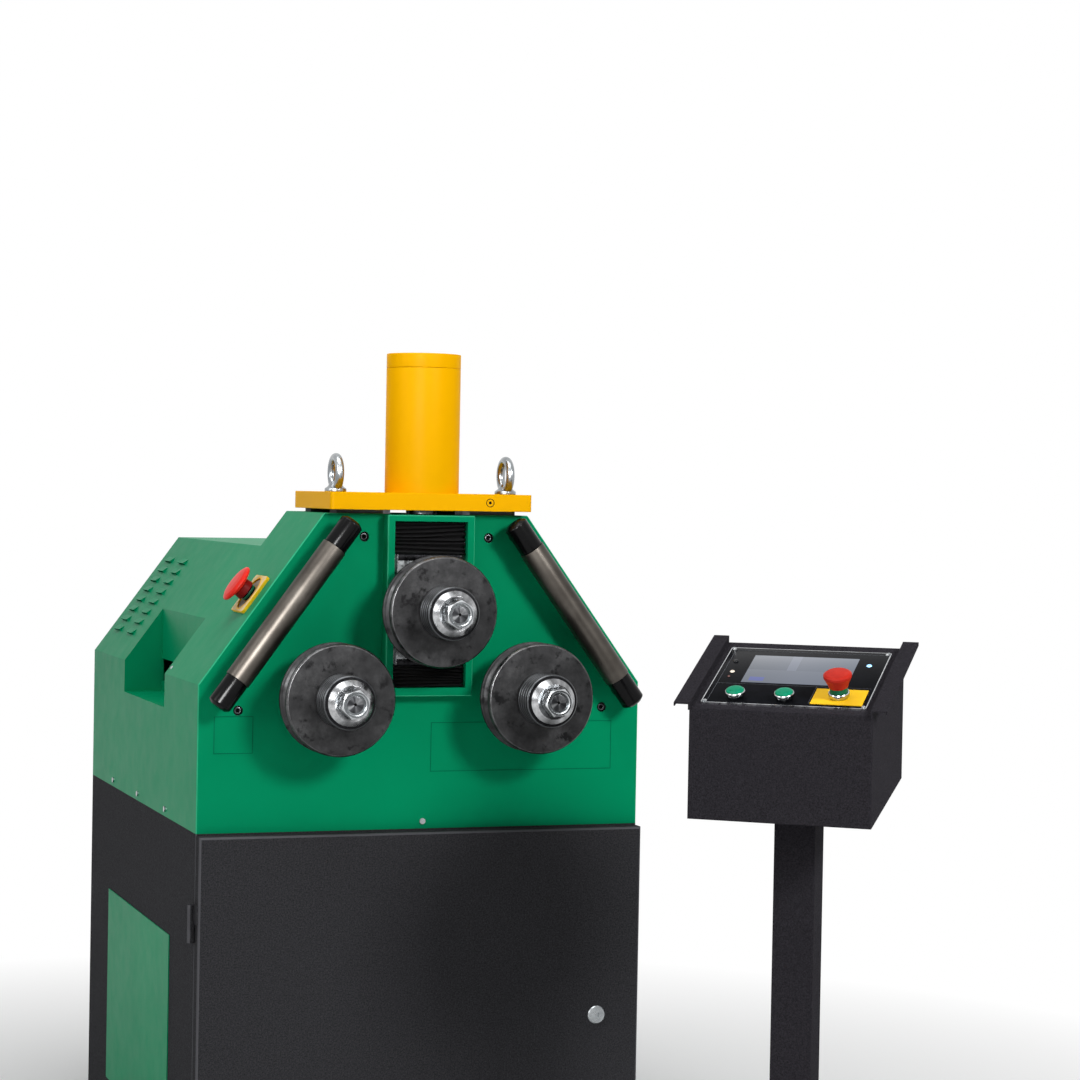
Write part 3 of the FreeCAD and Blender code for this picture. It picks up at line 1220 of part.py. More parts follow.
def make_console_estop_button():
    """The smaller, conical emergency stop on the console."""
    body = new_body("console_estop_button")
    low = "stop_plate_thickness + console_collar_height - 0.5"
    top = "stop_plate_thickness + console_collar_height + console_head_height"
    section = [("0", "-stop_pin_sink"), ("stop_pin_radius", "-stop_pin_sink"), ("stop_pin_radius", low),
               ("console_head_neck", low), ("console_head_neck + 0.5", low + " + 7"),
               ("console_head_radius - 0.8", top + " - console_head_band - 3"),
               ("console_head_radius", top + " - console_head_band"), ("console_head_radius", top + " - 4"),
               ("console_head_radius - 1.2", top + " - 2"), ("console_head_radius - 6", top + " - 0.6"),
               ("0", top)]
    turn(body, "head", [polygon(section)])
    place(body, panel_place("console_stop_x", "console_stop_s", "panel_lift"))
    return body


# ---------------------------------------------------------------- console
def make_console_stand():
    """A square foot plate with a rectangular column welded on it."""
    body = new_body("console_stand")
    middle = "column_setback + column_depth / 2"
    reach = "console_anchor_circle / 2 * cos(45)"
    corner = [(("-" if a < 0 else "") + "(%s)" % reach, "%s %s %s" % (middle, "-" if b < 0 else "+", reach))
              for a in (-1, 1) for b in (-1, 1)]
    pad(body, "foot", "XY", "0", "console_foot_thickness",
        [rectangle("-console_foot_half", "console_foot_half", middle + " - console_foot_half",
                   middle + " + console_foot_half")]
        + [circle(across, back, "console_anchor_radius") for across, back in corner])
    dress(body, "foot_corners", "Fillet", "console_foot_corner",
          both(along(Vector(0, 0, 1)),
               lambda edge: abs(edge.BoundBox.XMax) > number("console_foot_half") - 0.1))
    top = "console_floor + console_rise * column_setback / console_depth"
    pad(body, "column", "XY", "console_foot_thickness", top,
        [rectangle("-column_width / 2", "column_width / 2",
                   "column_setback", "column_setback + column_depth"),
         rectangle("-column_width / 2 + column_wall", "column_width / 2 - column_wall",
                   "column_setback + column_wall", "column_setback + column_depth - column_wall")])
    place(body, CONSOLE)
    return body


def make_console_box():
    """A folded box with a sloping top, whose sides rise and turn outwards into two hand rails."""
    body = new_body("console_box")
    half = "console_width / 2"
    slope = "tan(console_pitch)"
    top_rear = "console_floor + console_front + console_depth * %s" % slope
    outer = [("0", "console_floor"), ("0", "console_floor + console_front"),
             ("console_depth", top_rear), ("console_depth", "console_floor + console_rise")]
    inner = [("console_skin", "console_floor + console_skin * 1.5"),
             ("console_skin", "console_floor + console_front - console_skin"),
             ("console_depth - console_skin", top_rear + " - console_skin * (1 + %s)" % slope),
             ("console_depth - console_skin", "console_floor + console_rise + console_skin")]
    pad(body, "case", "YZ", "-(%s)" % half, half, [polygon(outer)])
    dress(body, "front_bends", "Fillet", "console_edge_radius", in_plane("y", "0"))
    pocket(body, "cavity", "YZ", "-(%s - console_skin)" % half, half + " - console_skin", [polygon(inner)])
    # the raised sides, the turned-out tops and their small lips, in the top's own direction
    shift = "console_skin / cos(console_pitch)"

    def band(low, high):
        start = "console_floor + console_front - rail_overhang * %s" % slope
        return polygon([("-rail_overhang", start + " + " + low), ("-rail_overhang", start + " + " + high),
                        ("console_depth", top_rear + " + " + high),
                        ("console_depth", top_rear + " + " + low)])
    for side, near, wall, far, lip in (
            ("left", "-(%s)" % half, "-(%s) + console_skin" % half, "-(%s) - rail_width" % half,
             "-(%s) - rail_width + console_skin" % half),
            ("right", half, half + " - console_skin", half + " + rail_width",
             half + " + rail_width - console_skin")):
        low_x, high_x = (near, wall) if side == "left" else (wall, near)
        pad(body, side + "_cheek", "YZ", low_x, high_x, [band("0", "rail_rise")])
        low_x, high_x = (far, wall) if side == "left" else (wall, far)
        pad(body, side + "_rail", "YZ", low_x, high_x, [band("rail_rise - " + shift, "rail_rise")])
        low_x, high_x = (far, lip) if side == "left" else (lip, far)
        pad(body, side + "_lip", "YZ", low_x, high_x, [band("rail_rise - rail_lip", "rail_rise")])
    place(body, CONSOLE)
    return body


def drilled(target, name, holes):
    """A piece with round holes square to a sloping face, each given by its place and radius."""
    drills = []
    for index, (spot, radius) in enumerate(holes):
        drill = doc.addObject("Part::Cylinder", "%s_drill_%d" % (name, index))
        drill.setExpression("Radius", expand(radius))
        drill.setExpression("Height", expand("2 * drill_reach"))
        place(drill, spot + " * placement(vector(0; 0; -drill_reach); rotationx(0))")
        drills.append(drill)
    tools = doc.addObject("Part::Compound", name + "_drills")
    tools.Links = drills
    cut = doc.addObject("Part::Cut", name + "_drilled")
    cut.Base = target
    cut.Tool = tools
    target.Label = name + "_blank"
    cut.Label = name
    return cut


def panel_holes():
    return [(panel_place("-button_left", "button_row"), "bezel_thread"),
            (panel_place("-button_middle", "button_row"), "bezel_thread"),
            (panel_place("console_stop_x", "console_stop_s"), "collar_stem_radius")]


def make_console_panel():
    body = new_body("console_panel")
    pad(body, "plate", "XY", "0", "panel_thickness",
        [rectangle("-panel_half", "panel_half", "panel_start", "panel_start + panel_length")])
    dress(body, "corners", "Fillet", "panel_corner", along(Vector(0, 0, 1)))
    place(body, PANEL)
    return body


def make_console_screen():
    body = new_body("console_screen")
    pad(body, "glass", "XY", "panel_lift", "panel_lift + screen_lift",
        [rectangle("-screen_half", "screen_half", "screen_start", "screen_start + screen_length")])
    place(body, PANEL)
    return body


def make_console_indicators():
    body = new_body("console_indicators")
    pad(body, "lamps", "XY", "panel_lift", "panel_lift + lamp_height",
        [circle("-lamp_left_x", "lamp_row", "lamp_radius"),
         circle("lamp_right_x", "lamp_row", "lamp_radius")])
    place(body, PANEL)
    return body


def make_bezel(name, across):
    """A chromed cup that flares upwards, with a threaded body below the panel."""
    body = new_body(name)
    seat = "bezel_height - bezel_seat"
    turn(body, "ring", [polygon([("bezel_bore", "-bezel_sink"), ("bezel_thread", "-bezel_sink"),
                                 ("bezel_thread", "0"), ("bezel_foot", "0"), ("bezel_foot", "bezel_rim"),
                                 ("bezel_radius", "bezel_height - 3 * bezel_rim"),
                                 ("bezel_radius", "bezel_height - bezel_rim"),
                                 ("bezel_radius - bezel_edge", "bezel_height"),
                                 ("bezel_seat_radius", "bezel_height"),
                                 ("bezel_seat_radius", seat), ("bezel_bore", seat)])])
    place(body, panel_place(across, "button_row", "panel_lift"))
    return body


def make_button(name, across):
    """A domed push button that sinks into its bezel."""
    body = new_body(name)
    low = "bezel_height - button_rest"
    edge = "bezel_height - button_rest + button_skirt"
    side = "(bezel_seat_radius - button_clearance)"
    foot = "-bezel_sink / 2"
    turn(body, "cap", [polygon([("0", foot), ("bezel_bore - button_clearance", foot),
                                ("bezel_bore - button_clearance", low), (side, low), (side, edge),
                                (side + " * 0.9", edge + " + button_dome * 0.45"),
                                (side + " * 0.6", edge + " + button_dome * 0.85"),
                                ("0", edge + " + button_dome")])])
    place(body, panel_place(across, "button_row", "panel_lift"))
    return body


# ---------------------------------------------------------------- drive and hydraulics
def make_gear_motor():
    """Gearbox on the bed with its motor behind, on the pinion's line."""
    body = new_body("gear_motor")
    pad(body, "gearbox", "XZ", "gearbox_face", "gearbox_back",
        [rectangle("-gearbox_half", "gearbox_half", "bed_top", "pinion_z + gearbox_half")])
    pad(body, "motor", "XZ", "gearbox_back", "gearbox_back + motor_length",
        [circle("0", "pinion_z", "motor_radius")])
    pad(body, "fan_cap", "XZ", "gearbox_back + motor_length", "gearbox_back + motor_length + motor_cap",
        [circle("0", "pinion_z", "motor_radius - motor_cap_step")])
    pad(body, "terminal_box", "XZ", "gearbox_back + terminal_start",
        "gearbox_back + terminal_start + terminal_length",
        [rectangle("-terminal_half", "terminal_half", "pinion_z + motor_radius - terminal_sink",
                   "pinion_z + motor_radius + terminal_rise")])
    pocket(body, "shaft_bore", "XZ", "gearbox_face", "gearbox_face + gearbox_bore",
           [circle("0", "pinion_z", "pinion_shaft_radius + journal_clearance")])
    return body


def make_power_pack():
    """Oil tank with its pump motor standing on the lid and a filler cap beside it."""
    body = new_body("hydraulic_power_pack")
    left, right = "-tank_x - tank_half", "-tank_x + tank_half"
    near, far = "front + tank_y", "front + tank_y + tank_length"
    filler = ("-tank_x + tank_half * 0.7", "front + tank_y + tank_length * 0.7")
    pad(body, "tank", "XY", "cabinet_floor", "tank_lid", [rectangle(left, right, near, far)])
    pocket(body, "oil_space", "XY", "cabinet_floor + case_wall", "tank_lid",
           [rectangle(left + " + case_wall", right + " - case_wall", near + " + case_wall",
                      far + " - case_wall")])
    pad(body, "lid", "XY", "tank_lid - case_wall", "tank_lid", [rectangle(left, right, near, far)])
    pad(body, "pump_motor", "XY", "tank_lid", "tank_lid + pump_height",
        [circle("-tank_x - tank_half / 3", "front + tank_y + tank_length / 2", "pump_radius")])
    pad(body, "filler_cap", "XY", "tank_lid", "tank_lid + filler_height", [circle(*filler, "filler_radius")])
    pocket(body, "breather", "XY", "tank_lid - case_wall", "tank_lid + filler_height",
           [circle(*filler, "breather_radius")])
    pad(body, "valve_block", "XY", "tank_lid", "tank_lid + valve_height",
        [rectangle("valve_face - valve_width", "valve_face", "front + supply_front - valve_margin",
                   "front + supply_front + supply_pitch + valve_margin")])
    return body


def make_hydraulic_lines():
    """Steel oil pipes: two from the yellow plate to the valve block, one up to the cylinder's port."""
    members = []
    for index, depth in enumerate(SUPPLY_DEPTHS):
        body = new_body("supply_%d" % index)
        drop = [("supply_x", "frame_top_z"), ("supply_x", "supply_level + supply_bend")]
        run = [("supply_x - supply_bend", "supply_level"), ("valve_face", "supply_level")]
        pipe(body, "run", ("XY", "frame_top_z", circle("supply_x", depth, "supply_radius")),
             ("XZ", depth, drop, run))
        pad(body, "fitting", "XY", "frame_top_z - fitting_length", "frame_top_z",
            [circle("supply_x", depth, "fitting_radius")])
        members.append(body)
    body = new_body("cylinder_line")
    far = "port_face + line_reach"
    out = [("port_face", "port_z"), (far + " - line_bend", "port_z")]
    down = [(far, "port_z - line_bend"), (far, "top_plate_z")]
    pipe(body, "run", ("XZ", "port_face", circle("0", "port_z", "line_radius")), ("YZ", "0", out, down))
    pad(body, "fitting", "XY", "top_plate_z", "top_plate_z + fitting_length",
        [circle("0", far, "line_nut_radius")])
    members.append(body)
    return group("hydraulic_lines", members)


def make_electrical_box():
    """A sheet-metal box with a lid on its inner side and a cable gland at the back."""
    body = new_body("electrical_box")
    left, right = "box_x - box_half", "box_x + box_half"
    near, far = "front + box_y", "front + box_y + box_length"
    top = "cabinet_floor + box_height"
    pad(body, "case", "XY", "cabinet_floor", top, [rectangle(left, right, near, far)])
    pocket(body, "space", "YZ", left, right + " - case_wall",
           [rectangle(near + " + case_wall", far + " - case_wall", "cabinet_floor + case_wall",
                      top + " - case_wall")])
    pad(body, "lid", "YZ", left + " - lid_step", left,
        [rectangle(near + " - lid_rim", far + " + lid_rim", "cabinet_floor + lid_rim", top + " + lid_rim")])
    pocket(body, "gland", "XZ", far + " - case_wall", far,
           [circle("box_x", "cabinet_floor + box_height / 2", "gland_radius")])
    return body


# ---------------------------------------------------------------- screws
def make_frame_screws():
    """Four socket screws seated in the front bearing plate, and the plug in the top plate."""
    body = new_body("frame_screws")
    low = "plate_front + screw_sink"
    head = low + " + frame_screw_head"
    pad(body, "heads", "XZ", low, head, frame_screw_loops("frame_screw_head_radius"))
    pad(body, "shanks", "XZ", head, low + " + frame_screw_length", frame_screw_loops("frame_screw_radius"))
    pocket(body, "sockets", "XZ", low, low + " + screw_socket",
           frame_screw_loops("frame_screw_radius * 0.7"))
    low = "top_plate_z - plate_screw_head"
    head_top = "top_plate_z - plate_screw_sink"
    pad(body, "top_heads", "XY", low, head_top, plate_screw_loops("plate_screw_head_radius"))
    pad(body, "top_shanks", "XY", low + " - plate_screw_length", low,
        plate_screw_loops("plate_screw_radius"))
    pocket(body, "top_sockets", "XY", head_top + " - screw_socket", head_top,
           plate_screw_loops("plate_screw_radius * 0.8"))
    plug_low = "front - top_plate_front + port_plug_sink"
    centre = "frame_top_z + top_plate_thickness / 2"
    pad(body, "plug", "XZ", plug_low, "front - top_plate_front + port_plug_depth",
        [circle("port_plug_x", centre, "port_plug_radius"),
         circle("port_plug_x", centre, "port_plug_radius * 0.4")])
    return body


def make_cover_screws():
    """Pan-head screws of the hood's skirt and the console panel's corners."""
    body = new_body("skirt_screws")
    level = "base_height + cover_screw_z"
    pad(body, "front_shank", "XZ", "front", "front + cover_screw_length",
        [circle("0", level, "cover_screw_radius")])
    pad(body, "front_head", "XZ", "front - cover_screw_head", "front",
        [circle("0", level, "cover_screw_head_radius")])
    heads = [circle(depth, level, "cover_screw_head_radius") for depth in SIDE_SCREWS]
    shanks = [circle(depth, level, "cover_screw_radius") for depth in SIDE_SCREWS]
    pad(body, "left_heads", "YZ", "-half_width - cover_screw_head", "-half_width", heads)
    pad(body, "left_shanks", "YZ", "-half_width", "-half_width + cover_screw_length", shanks)
    pad(body, "right_heads", "YZ", "half_width", "half_width + cover_screw_head", heads)
    pad(body, "right_shanks", "YZ", "half_width - cover_screw_length", "half_width", shanks)
    corners = new_body("panel_screws")
    inset = "panel_half - panel_screw_inset"
    near = "panel_start + panel_screw_inset"
    far = "panel_start + panel_length - panel_screw_inset"
    pad(corners, "heads", "XY", "panel_thickness", "panel_thickness + panel_screw_head",
        [circle(sign + "(%s)" % inset, run, "panel_screw_radius")
         for sign in ("", "-") for run in (near, far)])
    place(corners, PANEL)
    return group("cover_screws", [body, corners])


# ---------------------------------------------------------------- assembly
DERIVED["bed_front"] = "plate_front"
DERIVED["panel_lift"] = "panel_thickness"


def build():
    node(drilled(make_hood(), "hood", [(slope_place("front + estop_y"), "collar_stem_radius")]))
    for make in (make_base_cabinet, make_anchor_feet, make_side_cover, make_door_hinges, make_cabinet_door,
                 make_door_latch, make_rear_cover, make_window_frame, make_frame_bed):
        node(make())
    node(make_bearing_plate("front_bearing_plate", "plate_front", "plate_back", True))
    node(make_bearing_plate("rear_bearing_plate", "rear_plate_front", "rear_plate_back", False))
    for make in (make_tie_bars, make_lower_bearings, make_carriage_guides, make_top_plate,
                 make_cylinder_barrel, make_cylinder_cap, make_lifting_eyes):
        node(make())
    for side, across, up, phase in (("top", "0", "top_z", "0"), ("left", "-roll_x", "lower_z", "12"),
                                    ("right", "roll_x", "lower_z", "-9")):
        for piece in make_roll_unit(side, across, up, phase):
            node(piece)
    for gear in make_gears():
        node(gear)
    for make in (make_carriage, make_top_bearings, make_piston_rod):
        node(make())
    node(make_bellows("upper_bellows", "carriage_top + bellows_end_gap", "window_high_z", UPPER_FOLDS))
    node(make_bellows("lower_bellows", "window_low_z", "carriage_bottom - bellows_end_gap", LOWER_FOLDS))
    sleeve = node(make_guide_sleeve())
    node(mirror_x("right_guide_sleeve", sleeve))
    ends, axle = make_guide_ends(), make_guide_axle()
    node(group("guide_end_blocks", [ends, mirror_x("right_guide_ends", ends)]))
    node(group("guide_axles", [axle, mirror_x("right_guide_axle", axle)]))
    node(make_estop_button())
    node(make_console_estop_button())
    node(group("estop_plates", [make_estop_plate(), make_console_stop_plate()]))
    bezels = [make_bezel("left_bezel", "-button_left"), make_bezel("middle_bezel", "-button_middle")]
    node(group("button_collars", [make_estop_collar(), make_console_stop_collar()] + bezels))
    node(make_button("console_left_button", "-button_left"))
    node(make_button("console_right_button", "-button_middle"))
    node(make_console_stand())
    node(drilled(make_console_box(), "console_box", panel_holes()))
    node(drilled(make_console_panel(), "console_panel", panel_holes()))
    for make in (make_console_screen, make_console_indicators, make_gear_motor, make_power_pack,
                 make_hydraulic_lines, make_electrical_box, make_frame_screws, make_cover_screws):
        node(make())


def check(objects):
    """Every object is up to date, every solid valid and every cut removes something."""
    for thing in objects:
        if "Invalid" in thing.State or "Error" in thing.State:
            raise RuntimeError("%s failed: %s" % (thing.Name, thing.State))
        if thing.TypeId in ("PartDesign::Pocket", "PartDesign::Groove"):
            before, after = thing.BaseFeature.Shape.Volume, thing.Shape.Volume
            if before - after < 1e-3:
                raise RuntimeError("%s cuts nothing" % thing.Name)
    for piece in NODES:
        shape = piece.Shape
        if shape.isNull() or not shape.isValid() or not shape.Solids:
            raise RuntimeError("%s has no valid solid" % piece.Label)


def export():
    os.makedirs("parts", exist_ok=True)
    for piece in NODES:
        piece.Shape.exportStep(os.path.join("parts", piece.Label + ".step"))


build()
doc.recompute()
check(doc.Objects)
export()
print("%d nodes, %d solids" % (len(NODES), sum(len(piece.Shape.Solids) for piece in NODES)))
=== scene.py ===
"""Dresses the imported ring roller: finishes, fine turned and folded pieces, a white studio and the camera."""

import math

import bmesh
import bpy
from mathutils import Matrix, Vector, noise


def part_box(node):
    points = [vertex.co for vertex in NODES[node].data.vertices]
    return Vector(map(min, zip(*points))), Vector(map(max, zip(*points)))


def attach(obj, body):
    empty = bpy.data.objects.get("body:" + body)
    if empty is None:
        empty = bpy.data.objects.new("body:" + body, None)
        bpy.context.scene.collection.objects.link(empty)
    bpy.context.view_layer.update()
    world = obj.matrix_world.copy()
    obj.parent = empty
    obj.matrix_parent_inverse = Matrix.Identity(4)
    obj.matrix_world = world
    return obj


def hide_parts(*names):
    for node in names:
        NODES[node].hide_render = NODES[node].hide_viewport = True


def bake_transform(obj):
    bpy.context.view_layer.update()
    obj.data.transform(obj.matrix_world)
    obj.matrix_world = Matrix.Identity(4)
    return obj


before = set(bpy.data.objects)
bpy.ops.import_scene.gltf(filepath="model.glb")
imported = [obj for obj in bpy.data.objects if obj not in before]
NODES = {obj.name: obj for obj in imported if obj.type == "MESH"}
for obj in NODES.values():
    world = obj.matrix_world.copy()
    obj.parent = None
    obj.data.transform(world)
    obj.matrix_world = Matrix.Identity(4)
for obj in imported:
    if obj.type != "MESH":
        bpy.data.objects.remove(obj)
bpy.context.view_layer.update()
MM = 0.001

# --- places taken from the frame
HOOD_LOW, HOOD_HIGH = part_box("hood")
FRONT = HOOD_LOW.y
BASE = HOOD_LOW.z


def box_centre(node):
    low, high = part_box(node)
    return (low + high) / 2


# --- shader helpers
def srgb(code, alpha=1.0):
    """A colour written as six hexadecimal digits, as linear light."""
    values = []
    for index in (0, 2, 4):
        value = int(code[index:index + 2], 16) / 255
        values.append(value / 12.92 if value <= 0.04045 else ((value + 0.055) / 1.055) ** 2.4)
    return (*values, alpha)


class Nodes:
    """A node tree with short calls for the nodes that the finishes and the studio use."""

    def __init__(self, tree):
        self.tree = tree

    def node(self, kind, inputs=(), **settings):
        """A new node with its settings, and its inputs by name or number."""
        made = self.tree.nodes.new("ShaderNode" + kind)
        for name, value in settings.items():
            setattr(made, name, value)
        for key, value in dict(inputs).items():
            self.feed(made.inputs[key], value)
        return made

    def link(self, source, target):
        self.tree.links.new(source, target)

    def feed(self, socket, value):
        """Sets a socket to a number or colour, or links another socket to it."""
        if hasattr(value, "is_output"):
            self.link(value, socket)
        else:
            socket.default_value = value

    def math(self, operation, first, second=0.0):
        return self.node("Math", {0: first, 1: second}, operation=operation).outputs[0]

    def seen(self):
        """One for the rays of the camera, of reflections and of clear surfaces."""
        path = self.node("LightPath")
        direct = self.math("MAXIMUM", path.outputs["Is Camera Ray"], path.outputs["Is Glossy Ray"])
        return self.math("MAXIMUM", direct, path.outputs["Is Transmission Ray"])

    def end_with(self, output, factor, near, far):
        """Mixes two shader nodes into the tree's output."""
        mix = self.node("MixShader", {0: factor, 1: near.outputs[0], 2: far.outputs[0]})
        self.link(mix.outputs[0], self.tree.nodes[output].inputs["Surface"])


class Shader(Nodes):
    """A material's node tree, with the textures and masks of the finishes."""

    def __init__(self, name):
        self.material = bpy.data.materials.new(name)
        self.material.use_nodes = True
        super().__init__(self.material.node_tree)
        self.bsdf = self.tree.nodes["Principled BSDF"]
        self.place = self.node("TexCoord")

    def noise(self, scale, detail=3.0, rough=0.55, stretch=(1, 1, 1)):
        """A cloudy value from 0 to 1 in the object's own axes."""
        mapping = self.node("Mapping", {"Vector": self.place.outputs["Object"], "Scale": stretch})
        made = self.node("TexNoise", {"Vector": mapping.outputs[0], "Scale": scale, "Detail": detail,
                                      "Roughness": rough})
        return made.outputs["Fac"]

    def ramp(self, factor, *stops):
        """A colour or grey ramp of (position, value) stops."""
        made = self.node("ValToRGB", {0: factor})
        elements = made.color_ramp.elements
        while len(elements) < len(stops):
            elements.new(0.5)
        for element, (position, value) in zip(elements, stops):
            element.position = position
            element.color = value if isinstance(value, tuple) else (value, value, value, 1)
        return made.outputs["Color"]

    def bump(self, height, strength, distance=0.0005):
        made = self.node("Bump", {"Height": height, "Strength": strength, "Distance": distance})
        self.link(made.outputs[0], self.bsdf.inputs["Normal"])

    def mix(self, factor, first, second, blend="MIX"):
        colors = {"Factor": factor, 6: first, 7: second}
        return self.node("Mix", colors, data_type="RGBA", blend_type=blend).outputs[2]

    def within(self, *ranges):
        """One where every value lies between its own low and high; None sets no limit."""
        tests = [self.math(operation, value, limit) for value, low, high in ranges
                 for operation, limit in (("GREATER_THAN", low), ("LESS_THAN", high)) if limit is not None]
        result = tests[0]
        for test in tests[1:]:
            result = self.math("MULTIPLY", result, test)
        return result

    def painted_edge_highlight(self, tone, edge, share, low=0.16, high=0.93):
        """The tone with a painted highlight colour on bevels and bends, which face neither along nor across Y."""
        if not edge:
            return tone
        split = self.node("SeparateXYZ", {0: self.place.outputs["Normal"]})
        mask = self.within((self.math("ABSOLUTE", split.outputs[1]), low, high))
        return self.mix(self.math("MULTIPLY", mask, share), tone, srgb(edge))

    def from_axis(self):
        """The way from a turned face's axis, on a UV map that has the axis in its middle."""
        spots = {0: self.place.outputs["UV"], 1: (0.5, 0.5, 0)}
        return self.node("VectorMath", spots, operation="SUBTRACT").outputs[0]

    def reflection_sectors(self, scale, *stops):
        """Painted reflection: tone that changes round a turned face."""
        ray = self.node("VectorMath", {0: self.from_axis()}, operation="NORMALIZE")
        made = self.node("TexNoise", {"Vector": ray.outputs[0], "Scale": scale, "Detail": 2.0})
        return self.ramp(made.outputs["Fac"], *stops)

    def set(self, **values):
        """Feeds the surface's sockets and gives back the material."""
        names = {"color": "Base Color", "metal": "Metallic", "rough": "Roughness", "spec": "Specular IOR Level",
                 "emission": "Emission Color", "glow": "Emission Strength"}
        for key, value in values.items():
            self.feed(self.bsdf.inputs[names[key]], value)
        return self.material


# --- finishes
def paint(name, color, shade, rough=0.34, peel=0.12, spec=0.02, edge=None):
    """Sprayed enamel: a slow drift of tone, an orange-peel skin and, where edge is given, a painted highlight on the
    bends.
    """
    shader = Shader(name)
    drift = shader.ramp(shader.noise(3.0, 2.0), (0.25, srgb(shade)), (0.75, srgb(color)))
    drift = shader.painted_edge_highlight(drift, edge, 0.6)
    shader.bump(shader.noise(900.0, 2.0), peel, 0.0002)
    gloss = shader.ramp(shader.noise(28.0, 3.0), (0.3, rough - 0.03), (0.75, rough + 0.04))
    return shader.set(color=drift, rough=gloss, spec=spec)


def powder_coat(name, color, fleck, edge=None):
    """Black wrinkle powder coat with a fine grain that catches the light, and a painted highlight on rounded edges
    when edge is given.
    """
    shader = Shader(name)
    fine, coarse = shader.noise(1500.0, 2.0, 0.7), shader.noise(420.0, 3.0, 0.7)
    grain = shader.math("ADD", shader.math("MULTIPLY", fine, 0.5), shader.math("MULTIPLY", coarse, 0.5))
    tone = shader.ramp(grain, (0.40, srgb(color)), (0.62, srgb(fleck)))
    shader.bump(grain, 0.6, 0.0006)
    return shader.set(color=shader.painted_edge_highlight(tone, edge, 0.7), rough=0.6, spec=0.004)


def metal(name, dark, light, rough=0.3, scale=60.0, spread=0.10, turned=0.0, edge=None):
    """Bare metal with cloudy tone, uneven gloss and a faint machined skin, and a painted highlight on bevels when
    edge is given; turned is the lathe's grain.
    """
    shader = Shader(name)
    tone = shader.ramp(shader.noise(scale, 5.0, 0.6), (0.32, srgb(dark)), (0.68, srgb(light)))
    tone = shader.painted_edge_highlight(tone, edge, 0.6, 0.5)
    gloss = shader.ramp(shader.noise(scale * 2.3, 3.0, 0.5), (0.3, rough - spread), (0.7, rough + spread))
    shader.bump(shader.noise(scale * 14, 2.0, 0.5), 0.03, 0.0002)
    if turned:
        round_grain = shader.node("Tangent", direction_type="RADIAL", axis="Y")
        shader.link(round_grain.outputs[0], shader.bsdf.inputs["Tangent"])
        shader.bsdf.inputs["Anisotropic"].default_value = turned
    return shader.set(color=tone, metal=1.0, rough=gloss)


def turned_steel(name, rough, reflection_sectors, *stops):
    """Lathe-turned steel with tone in sectors round the axis, a painted reflection of turned steel, and fine turning
    rings.
    """
    shader = Shader(name)
    tone = shader.reflection_sectors(reflection_sectors, *stops)
    cloud = shader.ramp(shader.noise(130.0, 3.0), (0.3, srgb("d4d4d4")), (0.7, srgb("ffffff")))
    tone = shader.mix(1.0, tone, cloud, "MULTIPLY")
    rings = shader.node("TexWave", {"Vector": shader.from_axis(), "Scale": 60.0, "Distortion": 0.4},
                        wave_type="RINGS", rings_direction="SPHERICAL")
    shader.bump(rings.outputs["Fac"], 0.12, 0.0001)
    return shader.set(color=tone, metal=1.0, rough=rough)


def roll_steel():
    """Hardened roll steel, oiled and stained, with dark blotches and faint turning marks."""
    shader = Shader("roll_steel")
    cloud = shader.ramp(shader.noise(24.0, 7.0, 0.66), (0.32, srgb("1e1e1f")), (0.52, srgb("303031")),
                        (0.72, srgb("464647")))
    stain = shader.ramp(shader.noise(52.0, 5.0, 0.6), (0.34, 0.0), (0.44, 1.0))
    tone = shader.mix(stain, srgb("131314"), cloud)
    gloss = shader.ramp(shader.noise(70.0, 4.0), (0.3, 0.36), (0.7, 0.56))
    shader.bump(shader.noise(420.0, 3.0, 0.6), 0.10, 0.0003)
    return shader.set(color=tone, metal=0.45, rough=gloss, spec=0.12)


def plastic(name, color, shade, rough=0.3, spec=0.3, scale=60.0):
    """Moulded plastic with a faint drift of tone and a fine skin."""
    shader = Shader(name)
    tone = shader.ramp(shader.noise(scale, 3.0), (0.3, srgb(shade)), (0.7, srgb(color)))
    shader.bump(shader.noise(scale * 16, 2.0), 0.05, 0.0002)
    return shader.set(color=tone, rough=rough, spec=spec)


def bellows_cloth():
    """Coated black cloth with a fine weave along the folds."""
    shader = Shader("bellows_cloth")
    weave = shader.noise(700.0, 2.0, 0.6, (0.25, 1, 1))
    shader.bump(weave, 0.3, 0.0003)
    tone = shader.ramp(weave, (0.35, srgb("0b0b0c")), (0.75, srgb("1d1d1f")))
    return shader.set(color=tone, rough=0.48)


def cast_iron(name, color, shade):
    """Painted casting with a coarse grain."""
    shader = Shader(name)
    grain = shader.noise(340.0, 4.0, 0.6)
    shader.bump(grain, 0.4, 0.0006)
    tone = shader.ramp(grain, (0.3, srgb(shade)), (0.7, srgb(color)))
    return shader.set(color=tone, rough=0.5, metal=0.2)


def display():
    """A lit touch screen with soft plain fields and nothing written on it."""
    shader = Shader("display")
    split = shader.node("SeparateXYZ", {0: shader.place.outputs["UV"]})
    across, up = split.outputs[0], split.outputs[1]
    tone = shader.ramp(across, (0.0, srgb("5f6672")), (0.5, srgb("737a88")), (1.0, srgb("6a7484")))
    lower_field = ((up, None, 0.47),)
    upper_band = ((across, 0.37, 0.46), (up, 0.47, None))
    corner_key = ((across, 0.06, 0.20), (up, 0.06, 0.20))
    for ranges, share, color in ((lower_field, 0.35, "868d9b"), (upper_band, 0.5, "8f96a8"),
                                 (corner_key, 0.6, "5c68c8")):
        tone = shader.mix(shader.math("MULTIPLY", shader.within(*ranges), share), tone, srgb(color))
    return shader.set(color=srgb("14161a"), emission=tone, glow=0.75, rough=0.08)


